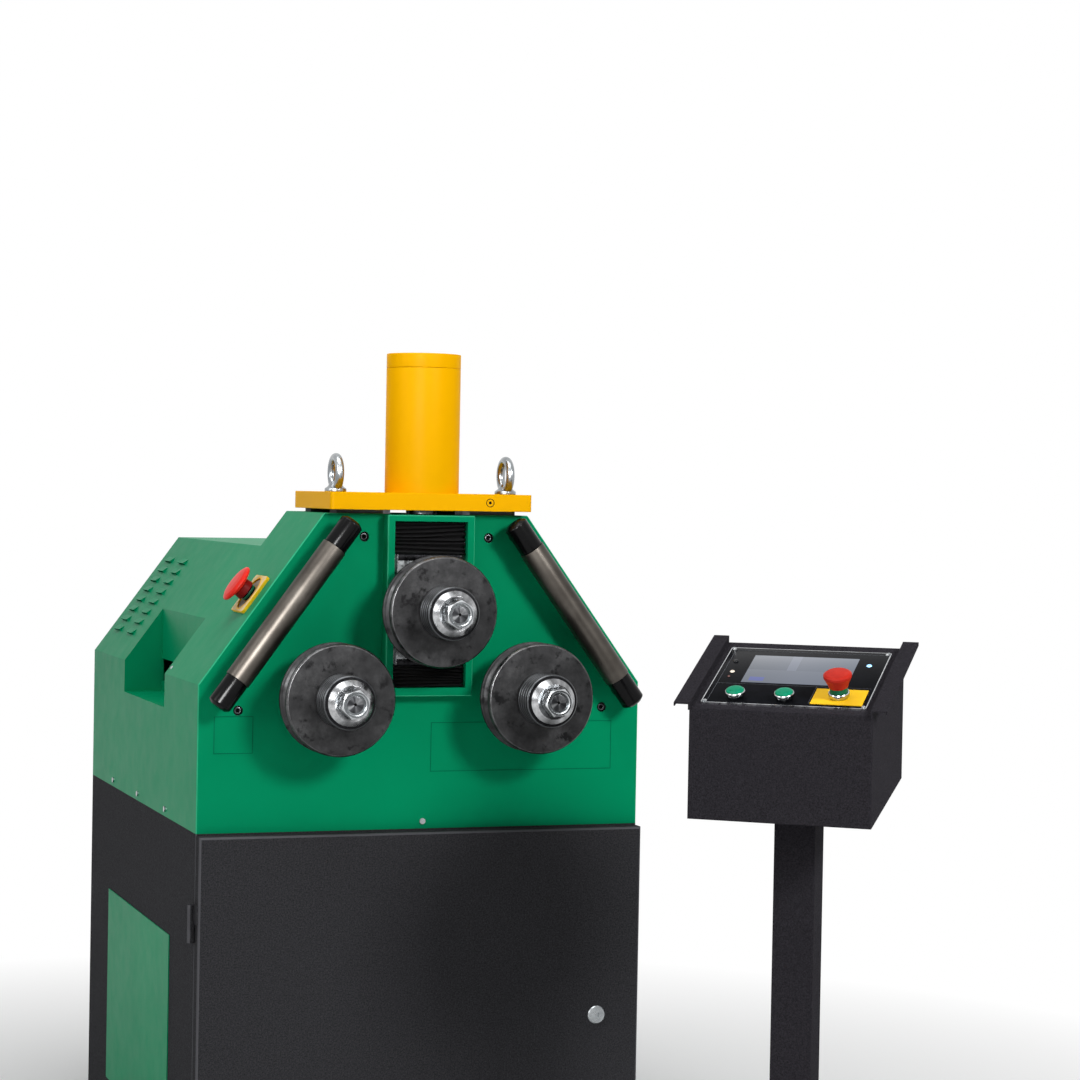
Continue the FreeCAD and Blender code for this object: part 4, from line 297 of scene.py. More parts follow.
def lamp(name, rim, heart, glow):
    """A small lamp lens, brightest in its middle."""
    shader = Shader(name)
    facing = shader.node("LayerWeight", {"Blend": 0.35})
    tone = shader.ramp(facing.outputs["Facing"], (0.0, srgb(heart)), (0.8, srgb(rim)))
    return shader.set(color=tone, emission=srgb(heart), glow=glow, rough=0.15)


# The edge colour is a painted highlight on the hood's bent edges.
GREEN = paint("green_paint", "008a5c", "008257", 0.36, edge="45bf92")
YELLOW = paint("yellow_paint", "f1b000", "eaa900", 0.40)
LEGEND_YELLOW = plastic("legend_yellow", "f5c316", "edb90c", 0.42, 0.1)
LEGEND_CREAM = plastic("legend_cream", "e6d3a0", "d8c48f", 0.6, 0.1, 300.0)
LEGEND_GREY = plastic("legend_grey", "a39a88", "8f8675", 0.6, 0.1, 500.0)
# The edge colour is a painted highlight on the cabinet's and door's rounded edges.
BLACK_COAT = powder_coat("black_powder_coat", "212123", "3f3f42", "5c5c60")
CONSOLE_COAT = powder_coat("console_powder_coat", "1e1d20", "353338")
MACHINE_GREY = paint("machine_grey", "5f6468", "55595d", 0.45)
ROLL_STEEL = roll_steel()
# Lighter, fully metallic steel for the roll's front rim: a painted highlight on its rounding.
RIM_STEEL = metal("rim_steel", "3c3c3d", "686869", 0.32, 60.0, 0.08)
# The edge colour is a painted highlight on the distance rings' chamfers.
RING_STEEL = metal("ring_steel", "141415", "222224", 0.34, 120.0, 0.08, edge="5d5f61")
BRIGHT_STEEL = metal("bright_steel", "8f9091", "b9babb", 0.24, 45.0, 0.06)
# Its tone in sectors round the axis is a painted reflection of turned steel.
CONE_STEEL = turned_steel("cone_steel", 0.22, 1.15, (0.36, srgb("6a6b6c")), (0.50, srgb("97989a")),
                          (0.62, srgb("cdced0")))
# The edge colour is a painted highlight on the hexagon's bevels.
NUT_STEEL = metal("nut_steel", "5d6062", "7f8385", 0.28, 70.0, 0.04, edge="d5d8da")
SHAFT_STEEL = metal("shaft_steel", "3d3e40", "65676a", 0.30, 160.0, 0.08, turned=0.6)
# Its tone in sectors round the axis is a painted reflection of a turned end face.
END_STEEL = turned_steel("end_steel", 0.3, 0.8, (0.36, srgb("2e2f31")), (0.50, srgb("4c4d50")),
                         (0.66, srgb("a2a4a6")))
ZINC = metal("zinc", "83878a", "aaaeb0", 0.26, 38.0, 0.04)
GUIDE_STEEL = metal("guide_steel", "403c38", "534f4a", 0.38, 22.0, 0.012)
CARRIAGE_STEEL = metal("carriage_steel", "8e9396", "c8cccd", 0.28, 50.0)
BLACK_STEEL = metal("black_steel", "101011", "232325", 0.30, 80.0)
PIPE_STEEL = metal("pipe_steel", "6f7376", "989c9f", 0.30, 60.0)
CHROME = metal("chrome", "a9abad", "cfd1d2", 0.10, 30.0, 0.03)
GEAR_STEEL = metal("gear_steel", "5d5d5f", "86868a", 0.4, 70.0)
CAP_BLACK = plastic("cap_black", "09090a", "050506", 0.20, 0.12)
STOP_RED = plastic("stop_red", "e02c20", "d2241b", 0.36, 0.08)
STOP_DULL_RED = plastic("stop_dull_red", "b92c20", "a92319", 0.42, 0.06)
# A darker copy of the stop red: painted shade under the slope stop's brim.
STOP_RED_SHADE = plastic("stop_red_painted_shade", "7e0d0c", "6c0909", 0.45, 0.08)
BUTTON_GREEN = plastic("button_green", "068a67", "007d5a", 0.32, 0.06)
CAST_BLUE_GREY = cast_iron("cast_blue_grey", "4a5560", "3d4750")
BELLOWS = bellows_cloth()
PANEL_FILM = plastic("panel_film", "101115", "0b0c0f", 0.16, 0.015)
PANEL_ALUMINIUM = metal("panel_aluminium", "a5a7aa", "d5d6d8", 0.3, 40.0)
PRINT_GREY = plastic("print_grey", "55585e", "4c4f55", 0.4, 0.1)
BLANK_EDGE = paint("blank_edge", "006548", "005c41", 0.45)
SHADOW_BLACK = plastic("shadow_black", "040404", "020202", 0.7, 0.05)
DISPLAY = display()
LAMP_BLUE = lamp("lamp_blue", "2a6bd8", "9fdcff", 1.0)
# Its pale glowing heart is a painted highlight standing in for the glints on a small dome.
LAMP_WARM = lamp("lamp_warm", "6b5a48", "e8dccb", 0.5)
LAMP_DULL = plastic("lamp_dull", "6a3a33", "54302b", 0.3, 0.2)
LAMP_OFF = plastic("lamp_off", "17181b", "101114", 0.15, 0.2)
# Green for the collar bands: a painted reflection of green in the stops' collars.
GREEN_REFLECTION = plastic("painted_green_reflection", "0b6e4a", "085c3d", 0.35, 0.15)


# --- mesh helpers
TINY = 1e-9
NEARLY_STRAIGHT = math.radians(175)
Z_TO_Y = Matrix.Rotation(math.radians(-90), 4, "X")


def add_piece(name, vertices, faces, material, body, slot, sharp=32):
    """A mesh object in the shared frame that rides on a CAD body; sharp is the crease angle in degrees."""
    mesh = bpy.data.meshes.new(name)
    mesh.from_pydata([tuple(v) for v in vertices], [], faces)
    shape = bmesh.new()
    shape.from_mesh(mesh)
    bmesh.ops.remove_doubles(shape, verts=shape.verts, dist=1e-7)
    bmesh.ops.recalc_face_normals(shape, faces=shape.faces)
    shape.to_mesh(mesh)
    shape.free()
    mesh.materials.append(material)
    mesh.polygons.foreach_set("use_smooth", [True] * len(mesh.polygons))
    mesh.set_sharp_from_angle(angle=math.radians(sharp))
    piece = bpy.data.objects.new(name, mesh)
    bpy.context.scene.collection.objects.link(piece)
    if body:
        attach(piece, body)
    return piece


def second_finish(piece, material, holds):
    """Gives another finish to the faces for which a test holds."""
    piece.data.materials.append(material)
    for face in piece.data.polygons:
        if holds(face):
            face.material_index = 1


def add_map(piece, matrix, spot_to_uv):
    """A UV map worked out from each vertex's place in the matrix's own axes, in metres."""
    inverse = matrix.inverted()
    layer = piece.data.uv_layers.new(name="UVMap")
    for loop in piece.data.loops:
        layer.data[loop.index].uv = spot_to_uv(inverse @ piece.data.vertices[loop.vertex_index].co)


def rounded(points, radius, steps=4, closed=False):
    """A profile with each corner turned into an arc; a third value in a point is its own radius."""
    result = []
    count = len(points)
    for index, point in enumerate(points):
        here = Vector(point[:2])
        size = point[2] if len(point) > 2 else radius
        before = Vector(points[index - 1][:2]) - here
        after = Vector(points[(index + 1) % count][:2]) - here
        ends = not closed and index in (0, count - 1)
        if (ends or size <= 0 or min(before.length, after.length) < TINY
                or before.angle(after) > NEARLY_STRAIGHT):
            result.append(here)
            continue
        reach = min(size / math.tan(before.angle(after) / 2), before.length * 0.49, after.length * 0.49)
        first, last = here + before.normalized() * reach, here + after.normalized() * reach
        for step in range(steps + 1):
            share = step / steps
            result.append((first * (1 - share) + here * share) * (1 - share)
                          + (here * (1 - share) + last * share) * share)
    return result


def axis_matrix(origin, direction):
    """Local Z along a direction from an origin, both in the shared frame."""
    turn = Vector((0, 0, 1)).rotation_difference(Vector(direction).normalized()).to_matrix().to_4x4()
    return Matrix.Translation(Vector(origin)) @ turn


def polar(matrix, reach, angle, height):
    """A point at a reach and height about the matrix's Z axis, both in millimetres."""
    return matrix @ (Vector((reach * math.cos(angle), reach * math.sin(angle), height)) * MM)


def lathe_mesh(profile, matrix, segments=96, closed=False):
    """Vertices and faces of a profile of (radius, height) in millimetres, turned about Z."""
    rings, vertices, faces = [], [], []
    for radius, height in profile:
        ring = []
        for step in range(segments if radius > 1e-6 else 1):
            ring.append(len(vertices))
            vertices.append(polar(matrix, radius, math.tau * step / segments, height))
        rings.append(ring)
    for low, high in zip(rings, rings[1:] + (rings[:1] if closed else [])):
        for step in range(segments):
            following = (step + 1) % segments
            if len(low) == 1:
                faces.append((low[0], high[following], high[step]))
            elif len(high) == 1:
                faces.append((low[step], low[following], high[0]))
            else:
                faces.append((low[step], low[following], high[following], high[step]))
    return vertices, faces


def lathe(name, profile, matrix, material, body, slot, segments=96, closed=False, sharp=32):
    vertices, faces = lathe_mesh(profile, matrix, segments, closed)
    return add_piece(name, vertices, faces, material, body, slot, sharp)


def joined(name, parts, material, body, slot, sharp=32):
    """Several (vertices, faces) lists as one piece."""
    vertices, faces = [], []
    for part_vertices, part_faces in parts:
        start = len(vertices)
        vertices += part_vertices
        faces += [tuple(start + index for index in face) for face in part_faces]
    return add_piece(name, vertices, faces, material, body, slot, sharp)


def block_mesh(low, high, matrix=Matrix.Identity(4), bevel=1.0, segments=3):
    """A box in millimetres with rounded edges."""
    shape = bmesh.new()
    bmesh.ops.create_cube(shape, size=1.0)
    low, high = Vector(low), Vector(high)
    for vertex in shape.verts:
        vertex.co = Vector(low[i] + (vertex.co[i] + 0.5) * (high[i] - low[i]) for i in range(3))
    if bevel:
        bmesh.ops.bevel(shape, geom=shape.edges[:], offset=bevel, segments=segments, affect="EDGES",
                        profile=0.5)
    vertices = [matrix @ (vertex.co * MM) for vertex in shape.verts]
    shape.verts.index_update()
    faces = [tuple(vertex.index for vertex in face.verts) for face in shape.faces]
    shape.free()
    return vertices, faces


def assign(material, *names):
    """Gives carried CAD nodes a finish."""
    for name in names:
        mesh = NODES[name].data
        mesh.materials.clear()
        mesh.materials.append(material)


# --- roll units
ROLL_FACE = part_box("top_roll")[0].y / MM
ROLL_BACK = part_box("top_roll")[1].y / MM
ROLL_RADIUS = 88.5
TUBE_RADIUS = 17.3
GROOVE_STEPS = 12
RIM_DEPTH = 5.0
HUB_RADIUS = 42.5
HUB_BORE = HUB_RADIUS - 16
RINGS = 5
RING_WIDTH = 9.8
RING_PITCH = 9.9
RINGS_FRONT = ROLL_FACE - RINGS * RING_PITCH
NUT_FLATS = 41.0
NUT_RECESS, RECESS_DEPTH, RECESS_CHAMFER = 16.0, 5.0, 1.3
COLLAR_DEPTH = 12
CENTRE_HOLE = 2.2
MAP_PER_METRE = 10


def shaft_matrix(node):
    """Local Z along the shared frame's +Y, on the node's own axis."""
    centre = box_centre(node)
    return Matrix.Translation((centre.x, 0, centre.z)) @ Z_TO_Y


def roll_profile():
    """The roll's section: a round groove for the tube between two rims, the front one wider."""
    middle = (ROLL_FACE + ROLL_BACK) / 2
    points = [(HUB_BORE, ROLL_FACE), (ROLL_RADIUS - 2.6, ROLL_FACE, 2.2), (ROLL_RADIUS, ROLL_FACE + 4.4, 2.2)]
    for step in range(GROOVE_STEPS + 1):
        angle = math.radians(180 * step / GROOVE_STEPS)
        points.append((ROLL_RADIUS - TUBE_RADIUS * math.sin(angle), middle - TUBE_RADIUS * math.cos(angle), 0.6))
    points += [(ROLL_RADIUS, ROLL_BACK - 2.2, 0.8), (ROLL_RADIUS - 2.2, ROLL_BACK, 0.8), (HUB_BORE, ROLL_BACK)]
    return rounded(points, 0.6, 3)


def make_roll(side, body):
    roll = lathe(side + "_forming_roll", roll_profile(), shaft_matrix(side + "_roll"), ROLL_STEEL, body,
                 "roll_steel", 128)

    # The front rim's rounding takes the lighter rim steel, a painted highlight.
    def on_front_rim(face):
        return face.center.y < (ROLL_FACE + RIM_DEPTH) * MM and 0.1 < abs(face.normal.y) < 0.97

    second_finish(roll, RIM_STEEL, on_front_rim)
    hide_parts(side + "_roll")


def make_rings(side, body):
    """Five distance rings with rounded edges and a shadow line between them."""
    parts = []
    for index in range(RINGS):
        low = RINGS_FRONT + index * RING_PITCH
        high = low + RING_WIDTH
        profile = rounded([(HUB_BORE, low), (HUB_RADIUS - 2.2, low, 0.3), (HUB_RADIUS, low + 2.0, 0.6),
                           (HUB_RADIUS, high - 1.6, 0.5), (HUB_RADIUS - 1.8, high, 0.3), (HUB_BORE, high)], 0.4, 2)
        parts.append(lathe_mesh(profile, shaft_matrix(side + "_spacers"), 96))
    rings = joined(side + "_distance_rings", parts, RING_STEEL, body, "bright_steel", 30)
    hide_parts(side + "_spacers")


def hexagon_reach(angle, phase):
    """Reach of a hexagon of unit half-flats at an angle, with a corner at the phase in degrees."""
    return 1 / math.cos(math.radians((math.degrees(angle) - phase) % 60 - 30))


def hexagon_mesh(matrix, phase, front, back):
    """A hexagon with coned corners, a chamfered round recess and its floor."""
    half = NUT_FLATS / 2
    cone = half * 0.97
    cone_slope = math.tan(math.radians(30))
    inner, outer = 6, 18
    segments = 144
    floor = front + RECESS_DEPTH
    vertices, faces, size = [], [], 0
    for step in range(segments):
        angle = math.tau * step / segments
        corner = half * hexagon_reach(angle, phase)
        drop = (corner - cone) * cone_slope
        section = [(inner, floor), (NUT_RECESS, floor), (NUT_RECESS, front + RECESS_CHAMFER),
                   (NUT_RECESS + RECESS_CHAMFER, front), (cone, front), (corner, front + drop),
                   (corner, back - drop), (cone, back), (outer, back)]
        size = len(section)
        for radius, height in section:
            vertices.append(polar(matrix, radius, angle, height))
        following = (step + 1) % segments
        for index in range(size - 1):
            here, there = step * size + index, following * size + index
            faces.append((here, there, there + 1, here + 1))
    return vertices, faces


def map_from_axis(piece, matrix):
    """A UV map that looks along a turned piece's axis, ten centimetres wide, centred on the axis."""
    add_map(piece, matrix, lambda spot: (0.5 + spot.x * MAP_PER_METRE, 0.5 + spot.y * MAP_PER_METRE))


def make_nut(side, body, phase):
    """Polished conical collar with a painted reflection, dark neck and a chamfered hexagon with a round recess and a
    painted highlight on its bevels.
    """
    stack = RINGS_FRONT
    matrix = shaft_matrix(side + "_clamp_nut")
    flange = stack - COLLAR_DEPTH
    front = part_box(side + "_clamp_nut")[0].y / MM
    collar = rounded([(18, flange + 1.8), (21, flange + 1.2, 0.5), (28.0, flange, 0.8), (36.2, stack - 3.4, 0.8),
                      (36.6, stack - 0.6, 0.3), (36.2, stack, 0.3), (20, stack)], 0.6, 3)
    cone = lathe(side + "_collar_cone", collar, matrix, CONE_STEEL, body, "bright_steel", 128, sharp=24)
    map_from_axis(cone, matrix)
    neck = [(19.6, flange - 3.2), (19.6, flange + 2.2)]
    parts = [lathe_mesh(neck, matrix, 48), hexagon_mesh(matrix, phase, front, flange - 3)]
    nut = joined(side + "_hexagon", parts, NUT_STEEL, body, "bright_steel", 22)
    end = front + RECESS_DEPTH
    face = rounded([(0, end + 2.6), (2.4, end - 0.5, 0.2), (12.6, end - 0.5, 0.8), (13.6, end + 0.6, 0.2),
                    (13.6, end + 2)], 0.3, 3)
    stub = lathe(side + "_shaft_end", face, matrix, END_STEEL, body, "bright_steel", 96, sharp=30)
    map_from_axis(stub, matrix)

    # The centre hole is painted shadow black: painted shade in the drilling.
    def in_centre_hole(face):
        return (face.center - matrix.translation).cross(Vector((0, 1, 0))).length < CENTRE_HOLE * MM

    second_finish(stub, SHADOW_BLACK, in_centre_hole)
    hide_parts(side + "_clamp_nut")
    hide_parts(side + "_clamp_nut")


def make_rolls():
    """The three roll units; the last value is the turn of the nut's hexagon in degrees."""
    for side, body, phase in (("top", "top_roll", 32), ("left", "left_roll", 44), ("right", "right_roll", 52)):
        make_roll(side, body)
        make_rings(side, body)
        make_nut(side, body, phase)


# --- guide rollers
SLOPE_ANGLE = math.radians(53.8)
SLEEVE = 259.07
SLEEVE_RADIUS, SLEEVE_BORE, SLEEVE_PLAY = 21, 10.3, 0.3
END_BLOCK = 51.5
CAP_RADIUS = 19.5
POST_RADIUS, POST_TOP = 11, 14


def guide_matrix(side):
    """Local Z up the slope of the hood, on the sleeve's own axis."""
    centre = box_centre(side + "_guide_sleeve")
    lean = 1 if side == "left" else -1
    return axis_matrix(centre, (lean * math.cos(SLOPE_ANGLE), 0, math.sin(SLOPE_ANGLE)))


def make_guides():
    """The steel sleeves, and the black caps at their ends on posts that stand on the front."""
    caps = []
    for side in ("left", "right"):
        matrix = guide_matrix(side)
        half = SLEEVE / 2 - SLEEVE_PLAY
        tube = rounded([(SLEEVE_BORE, -half + 1.0), (12, -half, 0.5), (SLEEVE_RADIUS, -half, 0.9),
                        (SLEEVE_RADIUS, half, 0.9), (12, half, 0.5), (SLEEVE_BORE, half - 1.0)], 0.8, 3)
        sleeve = lathe(side + "_roller_sleeve", tube, matrix, GUIDE_STEEL, side + "_guide_sleeve", "guide_steel", 96)
        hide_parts(side + "_guide_sleeve")
        for sign in (1, -1):
            near, far = SLEEVE / 2, SLEEVE / 2 + END_BLOCK
            cap = rounded([(0, sign * far), (13, sign * far, 2.0), (CAP_RADIUS, sign * (far - 4.5), 3.5),
                           (CAP_RADIUS, sign * near, 0.6), (10, sign * near)], 1.0, 5)
            caps.append(lathe_mesh(cap, matrix, 96))
            post = matrix @ Matrix.Translation((0, 0, sign * (near + END_BLOCK / 2) * MM))
            foot = Matrix.Translation((post.translation.x, 0, post.translation.z)) @ Z_TO_Y
            start = post.translation.y / MM + POST_TOP
            section = [(0, start), (POST_RADIUS, start), (POST_RADIUS, FRONT / MM), (0, FRONT / MM)]
            caps.append(lathe_mesh(section, foot, 48))
    blocks = joined("roller_end_caps", caps, CAP_BLACK, "machine", "dark_steel", 30)
    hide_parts("guide_end_blocks")


# --- bellows
BELLOWS_COLUMNS = 24
PLEAT_WANDER, PLEAT_LEAN, PLEAT_FAN, PLEAT_BOW = 0.0024, 0.0016, 0.026, 0.004
CREST_INSET, CREST_DEPTH, VALLEY_INSET, CLOTH = 0.0006, 0.0012, 0.0015, 0.0006


def make_bellows(node, folds, tilt):
    """Folded cloth whose pleats lie a little unevenly, closer on one side; tilt is that side's sign."""
    low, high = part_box(node)
    rows = 2 * folds + 1
    vertices, faces = [], []
    for row in range(rows):
        share = row / (rows - 1)
        crest = row % 2 == 1
        edge = math.sin(math.pi * share)
        for column in range(BELLOWS_COLUMNS + 1):
            across = column / BELLOWS_COLUMNS
            x = low.x + (high.x - low.x) * across
            wander = noise.noise(Vector((row * 7.3, across * 1.6, tilt * 3.0))) * PLEAT_WANDER * edge
            lean = tilt * (across - 0.5) * (PLEAT_LEAN + (share - 0.45) * PLEAT_FAN) * edge
            bow = tilt * (across - 0.5) ** 2 * PLEAT_BOW * edge
            z = low.z + (high.z - low.z) * share + wander + lean + bow
            depth = CREST_DEPTH * noise.noise(Vector((row * 3.1, across * 2.2, 9.0)))
            y = low.y + CREST_INSET + abs(depth) if crest else high.y - VALLEY_INSET
            vertices.append((x, y, min(max(z, low.z), high.z)))
    for row in range(rows - 1):
        for column in range(BELLOWS_COLUMNS):
            here = row * (BELLOWS_COLUMNS + 1) + column
            above = here + BELLOWS_COLUMNS + 1
            faces.append((here, here + 1, above + 1, above))
    piece = add_piece(node + "_cloth", vertices, faces, BELLOWS, None, "bellows_rubber", 20)
    thick = piece.modifiers.new("thickness", "SOLIDIFY")
    thick.thickness = CLOTH
    thick.offset = 0
    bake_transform(piece)
    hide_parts(node)


def make_all_bellows():
    """Both bellows, each from its end on the machine to its end on the carriage."""
    make_bellows("upper_bellows", 8, 1.0)
    make_bellows("lower_bellows", 7, -1.0)


STRIP_HALF, STRIP_HEIGHT, STRIP_PROUD = 52.5, 9, 2.2
STRIP_SCREWS = (-40, -13, 13, 40)


def make_bellows_strips():
    """The dark clamping strips that hold the bellows' ends to the carriage."""
    low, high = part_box("carriage")
    face = low.y / MM
    parts = []
    for top, bottom in ((high.z / MM, high.z / MM - STRIP_HEIGHT), (low.z / MM + STRIP_HEIGHT, low.z / MM)):
        parts.append(block_mesh((-STRIP_HALF, face - STRIP_PROUD, bottom), (STRIP_HALF, face + 1, top), bevel=0.6))
        for x in STRIP_SCREWS:
            head = axis_matrix((x * MM, (face - STRIP_PROUD) * MM, (top + bottom) / 2 * MM), (0, -1, 0))
            parts.append(lathe_mesh(rounded([(0, 0.9), (2.2, 0.9, 0.4), (2.2, -0.5)], 0.4, 3), head, 24))
    joined("bellows_strips", parts, BLACK_STEEL, "carriage", "dark_steel")


# --- cylinder and eyes
BARREL_RADIUS = 60
EYE_X, EYE_RING, EYE_SECTION = 143.5, 24.5, 7


def make_cylinder():
    """The painted barrel and its lid, with a fine seam between them."""
    low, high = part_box("cylinder_barrel")
    matrix = Matrix.Translation((0, low.y + BARREL_RADIUS * MM, 0))
    base, top = low.z / MM, high.z / MM
    section = rounded([(0, base), (BARREL_RADIUS, base), (BARREL_RADIUS, top, 0.5), (0, top)], 0.5, 3)
    barrel = lathe("cylinder_tube", section, matrix, YELLOW, "machine", "yellow_paint", 160)
    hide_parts("cylinder_barrel")
    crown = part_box("cylinder_cap")[1].z / MM
    section = rounded([(0, top + 0.35), (BARREL_RADIUS - 0.4, top + 0.35, 0.4), (BARREL_RADIUS, top + 0.9, 0.3),
                       (BARREL_RADIUS, crown, 1.2), (0, crown)], 0.5, 3)
    cap = lathe("cylinder_lid", section, matrix, YELLOW, "machine", "yellow_paint", 160)
    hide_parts("cylinder_cap")


def torus_mesh(major, minor, matrix, rounds=72, sides=28):
    """A ring of round section about the matrix's Z axis, in millimetres."""
    vertices, faces = [], []
    for turn in range(rounds):
        for side in range(sides):
            section = math.tau * side / sides
            vertices.append(polar(matrix, major + minor * math.cos(section), math.tau * turn / rounds,
                                  minor * math.sin(section)))
    for turn in range(rounds):
        here, there = turn * sides, (turn + 1) % rounds * sides
        for side in range(sides):
            following = (side + 1) % sides
            faces.append((here + side, there + side, there + following, here + following))
    return vertices, faces


def make_eyes():
    """Forged ring bolts: a round ring on a stepped, rounded collar."""
    low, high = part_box("lifting_eyes")
    plate_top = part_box("top_plate")[1].z
    y = (low.y + high.y) / 2
    parts = []
    for side in (-1, 1):
        x = side * EYE_X * MM
        ring = Matrix.Translation((x, y, high.z - (EYE_RING + EYE_SECTION) * MM))
        ring = ring @ Matrix.Rotation(math.radians(90), 4, "Y")
        parts.append(torus_mesh(EYE_RING, EYE_SECTION, ring))
        foot = Matrix.Translation((x, y, plate_top))
        collar = rounded([(0, 0), (17.5, 0, 0.8), (17.5, 5, 2.2), (13.0, 8.0, 2.5), (9.5, 12.5, 3.0), (8.2, 16.5)],
                         1.5, 4)
        parts.append(lathe_mesh(collar, foot, 64))
    eyes = joined("ring_bolts", parts, ZINC, "machine", "zinc_steel", 40)
    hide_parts("lifting_eyes")


# --- emergency stops and buttons
SHOULDER_RISE = 0.234
SLOPE_STOP_X, SLOPE_STOP_BACK = -0.269, 0.075
SLOPE_SCREW = (-0.3619, -0.2102, 0.8850)
NECK_HEIGHT, NECK_RADIUS = 25, 20
CONSOLE_SPOT = (0.2908, -1.184, 0)
CONSOLE_TURN, PANEL_PITCH = math.radians(-39.2), math.radians(23.1)
CONSOLE_BOX_LOW, CONSOLE_BOX_FRONT = 0.7286, 0.1569
PANEL_TOP = 3.0
STOP_SPOT = (74.5, 44.5)
BUTTON_SPOTS = {"console_left_button": (-72, 32), "console_right_button": (-1, 32)}


def slope_matrix():
    """The stop's place on the hood's left slope: X up the slope, Y to the rear, Z outwards."""
    x, y = SLOPE_STOP_X, FRONT + SLOPE_STOP_BACK
    z = BASE + SHOULDER_RISE + (HOOD_HIGH.x + x) * math.tan(SLOPE_ANGLE)
    across = Vector((math.cos(SLOPE_ANGLE), 0, math.sin(SLOPE_ANGLE)))
    normal = Vector((-math.sin(SLOPE_ANGLE), 0, math.cos(SLOPE_ANGLE)))
    matrix = Matrix((across, Vector((0, 1, 0)), normal)).transposed().to_4x4()
    matrix.translation = Vector((x, y, z))
    return matrix


def make_slope_stop():
    """The machine's red mushroom head, with painted shade: a darker red under its brim."""
    matrix = slope_matrix()
    head = rounded([(14, 16.5), (16.2, 11.0, 0.5), (16.8, 12.2, 0.5), (15.8, 23.0, 2.0), (30.6, 28.0, 1.5),
                    (32.0, 30.5, 1.2), (31.4, 32.6, 1.0), (26, 35.4, 10), (14, 36.9, 20), (0, 37.3)], 1.0, 5)
    mushroom = lathe("slope_stop_head", head, matrix, STOP_RED, "machine_estop", "stop_red", 96, sharp=50)
    inverse = matrix.inverted()

    def in_brim_shade(face):
        middle = inverse @ face.center / MM
        return middle.z < NECK_HEIGHT and math.hypot(middle.x, middle.y) < NECK_RADIUS

    # The neck under the brim takes the darker red, a painted shade.
    second_finish(mushroom, STOP_RED_SHADE, in_brim_shade)
    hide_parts("machine_estop_button")


def panel_matrix():
    """The console panel's plane: X across, Y up the slope, Z outwards, from the box's top front edge."""
    turn = Matrix.Rotation(CONSOLE_TURN, 4, "Z")
    lift = Matrix.Translation((0, 0, CONSOLE_BOX_LOW + CONSOLE_BOX_FRONT)) @ Matrix.Rotation(PANEL_PITCH, 4, "X")
    return Matrix.Translation(CONSOLE_SPOT) @ turn @ lift


def on_panel(across, run, lift=PANEL_TOP):
    """A place on the panel, in millimetres across, up the slope and above the box's edge."""
    return panel_matrix() @ Matrix.Translation((across * MM, run * MM, lift * MM))


def make_console_stop():
    """The console's duller red head, with a painted green reflection as a band round its neck."""
    matrix = on_panel(*STOP_SPOT)
    low, top, band_height = 8.2, 39.7, 9.0
    head = rounded([(7, low), (12.2, low, 0.5), (12.2, low + 9.2, 0.4), (13.6, low + 9.4, 0.5), (14.2, low + 12, 2),
                    (18.6, top - 9.5, 4), (20, top - 7.0, 1.5), (20, top - 3.2, 1.5), (16.5, top - 0.7, 4), (0, top)],
                   1.0, 5)
    knob = lathe("console_stop_head", head, matrix, STOP_DULL_RED, "console_estop", "stop_red", 96, sharp=50)
    # The green band is a painted reflection.
    band = rounded([(11.9, low), (12.5, low, 0.2), (12.5, low + band_height, 0.2), (11.9, low + band_height)],
                   0.2, 2, True)
    lathe("console_stop_band", band, matrix, GREEN_REFLECTION, "console_estop", "stop_red", 72, True)
    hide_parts("console_estop_button")


def make_buttons():
    """The console's two green push caps."""
    for node, (across, run) in BUTTON_SPOTS.items():
        matrix = on_panel(across, run)
        cap = rounded([(7, 9.9), (12.95, 9.9, 0.3), (12.95, 11.9, 0.8), (11.6, 13.2, 2.0), (7.6, 14.5, 6), (0, 14.9)],
                      0.8, 5)
        piece = lathe(node.replace("button", "push"), cap, matrix, BUTTON_GREEN, node, "button_green", 72, sharp=50)
        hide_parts(node)


def make_collars():
    """The chromed bezels and collar of the console, and the black collar of the stop on the slope."""
    parts = []
    for across, run in BUTTON_SPOTS.values():
        ring = rounded([(8, -16), (9.4, -16), (9.4, 0), (11.4, 0, 0.2), (12.2, 2.0, 1.0), (14.0, 6.4, 2.0),
                        (14.3, 10.4, 0.6), (13.6, 11.4, 0.3), (13.0, 11.4, 0.2), (13.0, 6.4)], 0.4, 4)
        parts.append(lathe_mesh(ring, on_panel(across, run), 72))
    cup = rounded([(7.3, -30), (11, -30), (11, 1.2), (13.6, 1.2, 0.3), (15, 4.0, 1.0), (15, 8.6, 0.8),
                   (14.2, 9.8, 0.5), (13.2, 9.8, 0.4), (13.0, 2.9), (7.3, 2.9)], 0.4, 4)
    parts.append(lathe_mesh(cup, on_panel(*STOP_SPOT), 72))
    chrome = joined("chromed_collars", parts, CHROME, "machine", "chrome", 30)
    ring = rounded([(7.3, -30), (11, -30), (11, 2.8), (14, 2.8, 0.3), (14, 9.2, 0.8), (13.2, 10.2, 0.4),
                    (7.3, 10.2)], 0.4, 3)
    dark = lathe("slope_stop_collar", ring, slope_matrix(), CAP_BLACK, "machine", "chrome", 72)
    # The green band on the black collar is a painted reflection.
    band = rounded([(13.9, 5.2), (14.25, 5.2, 0.1), (14.25, 8.6, 0.1), (13.9, 8.6)], 0.1, 2, True)
    lathe("slope_stop_band", band, slope_matrix(), GREEN_REFLECTION, "machine", "chrome", 72, True)
    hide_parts("button_collars")
    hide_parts("button_collars")


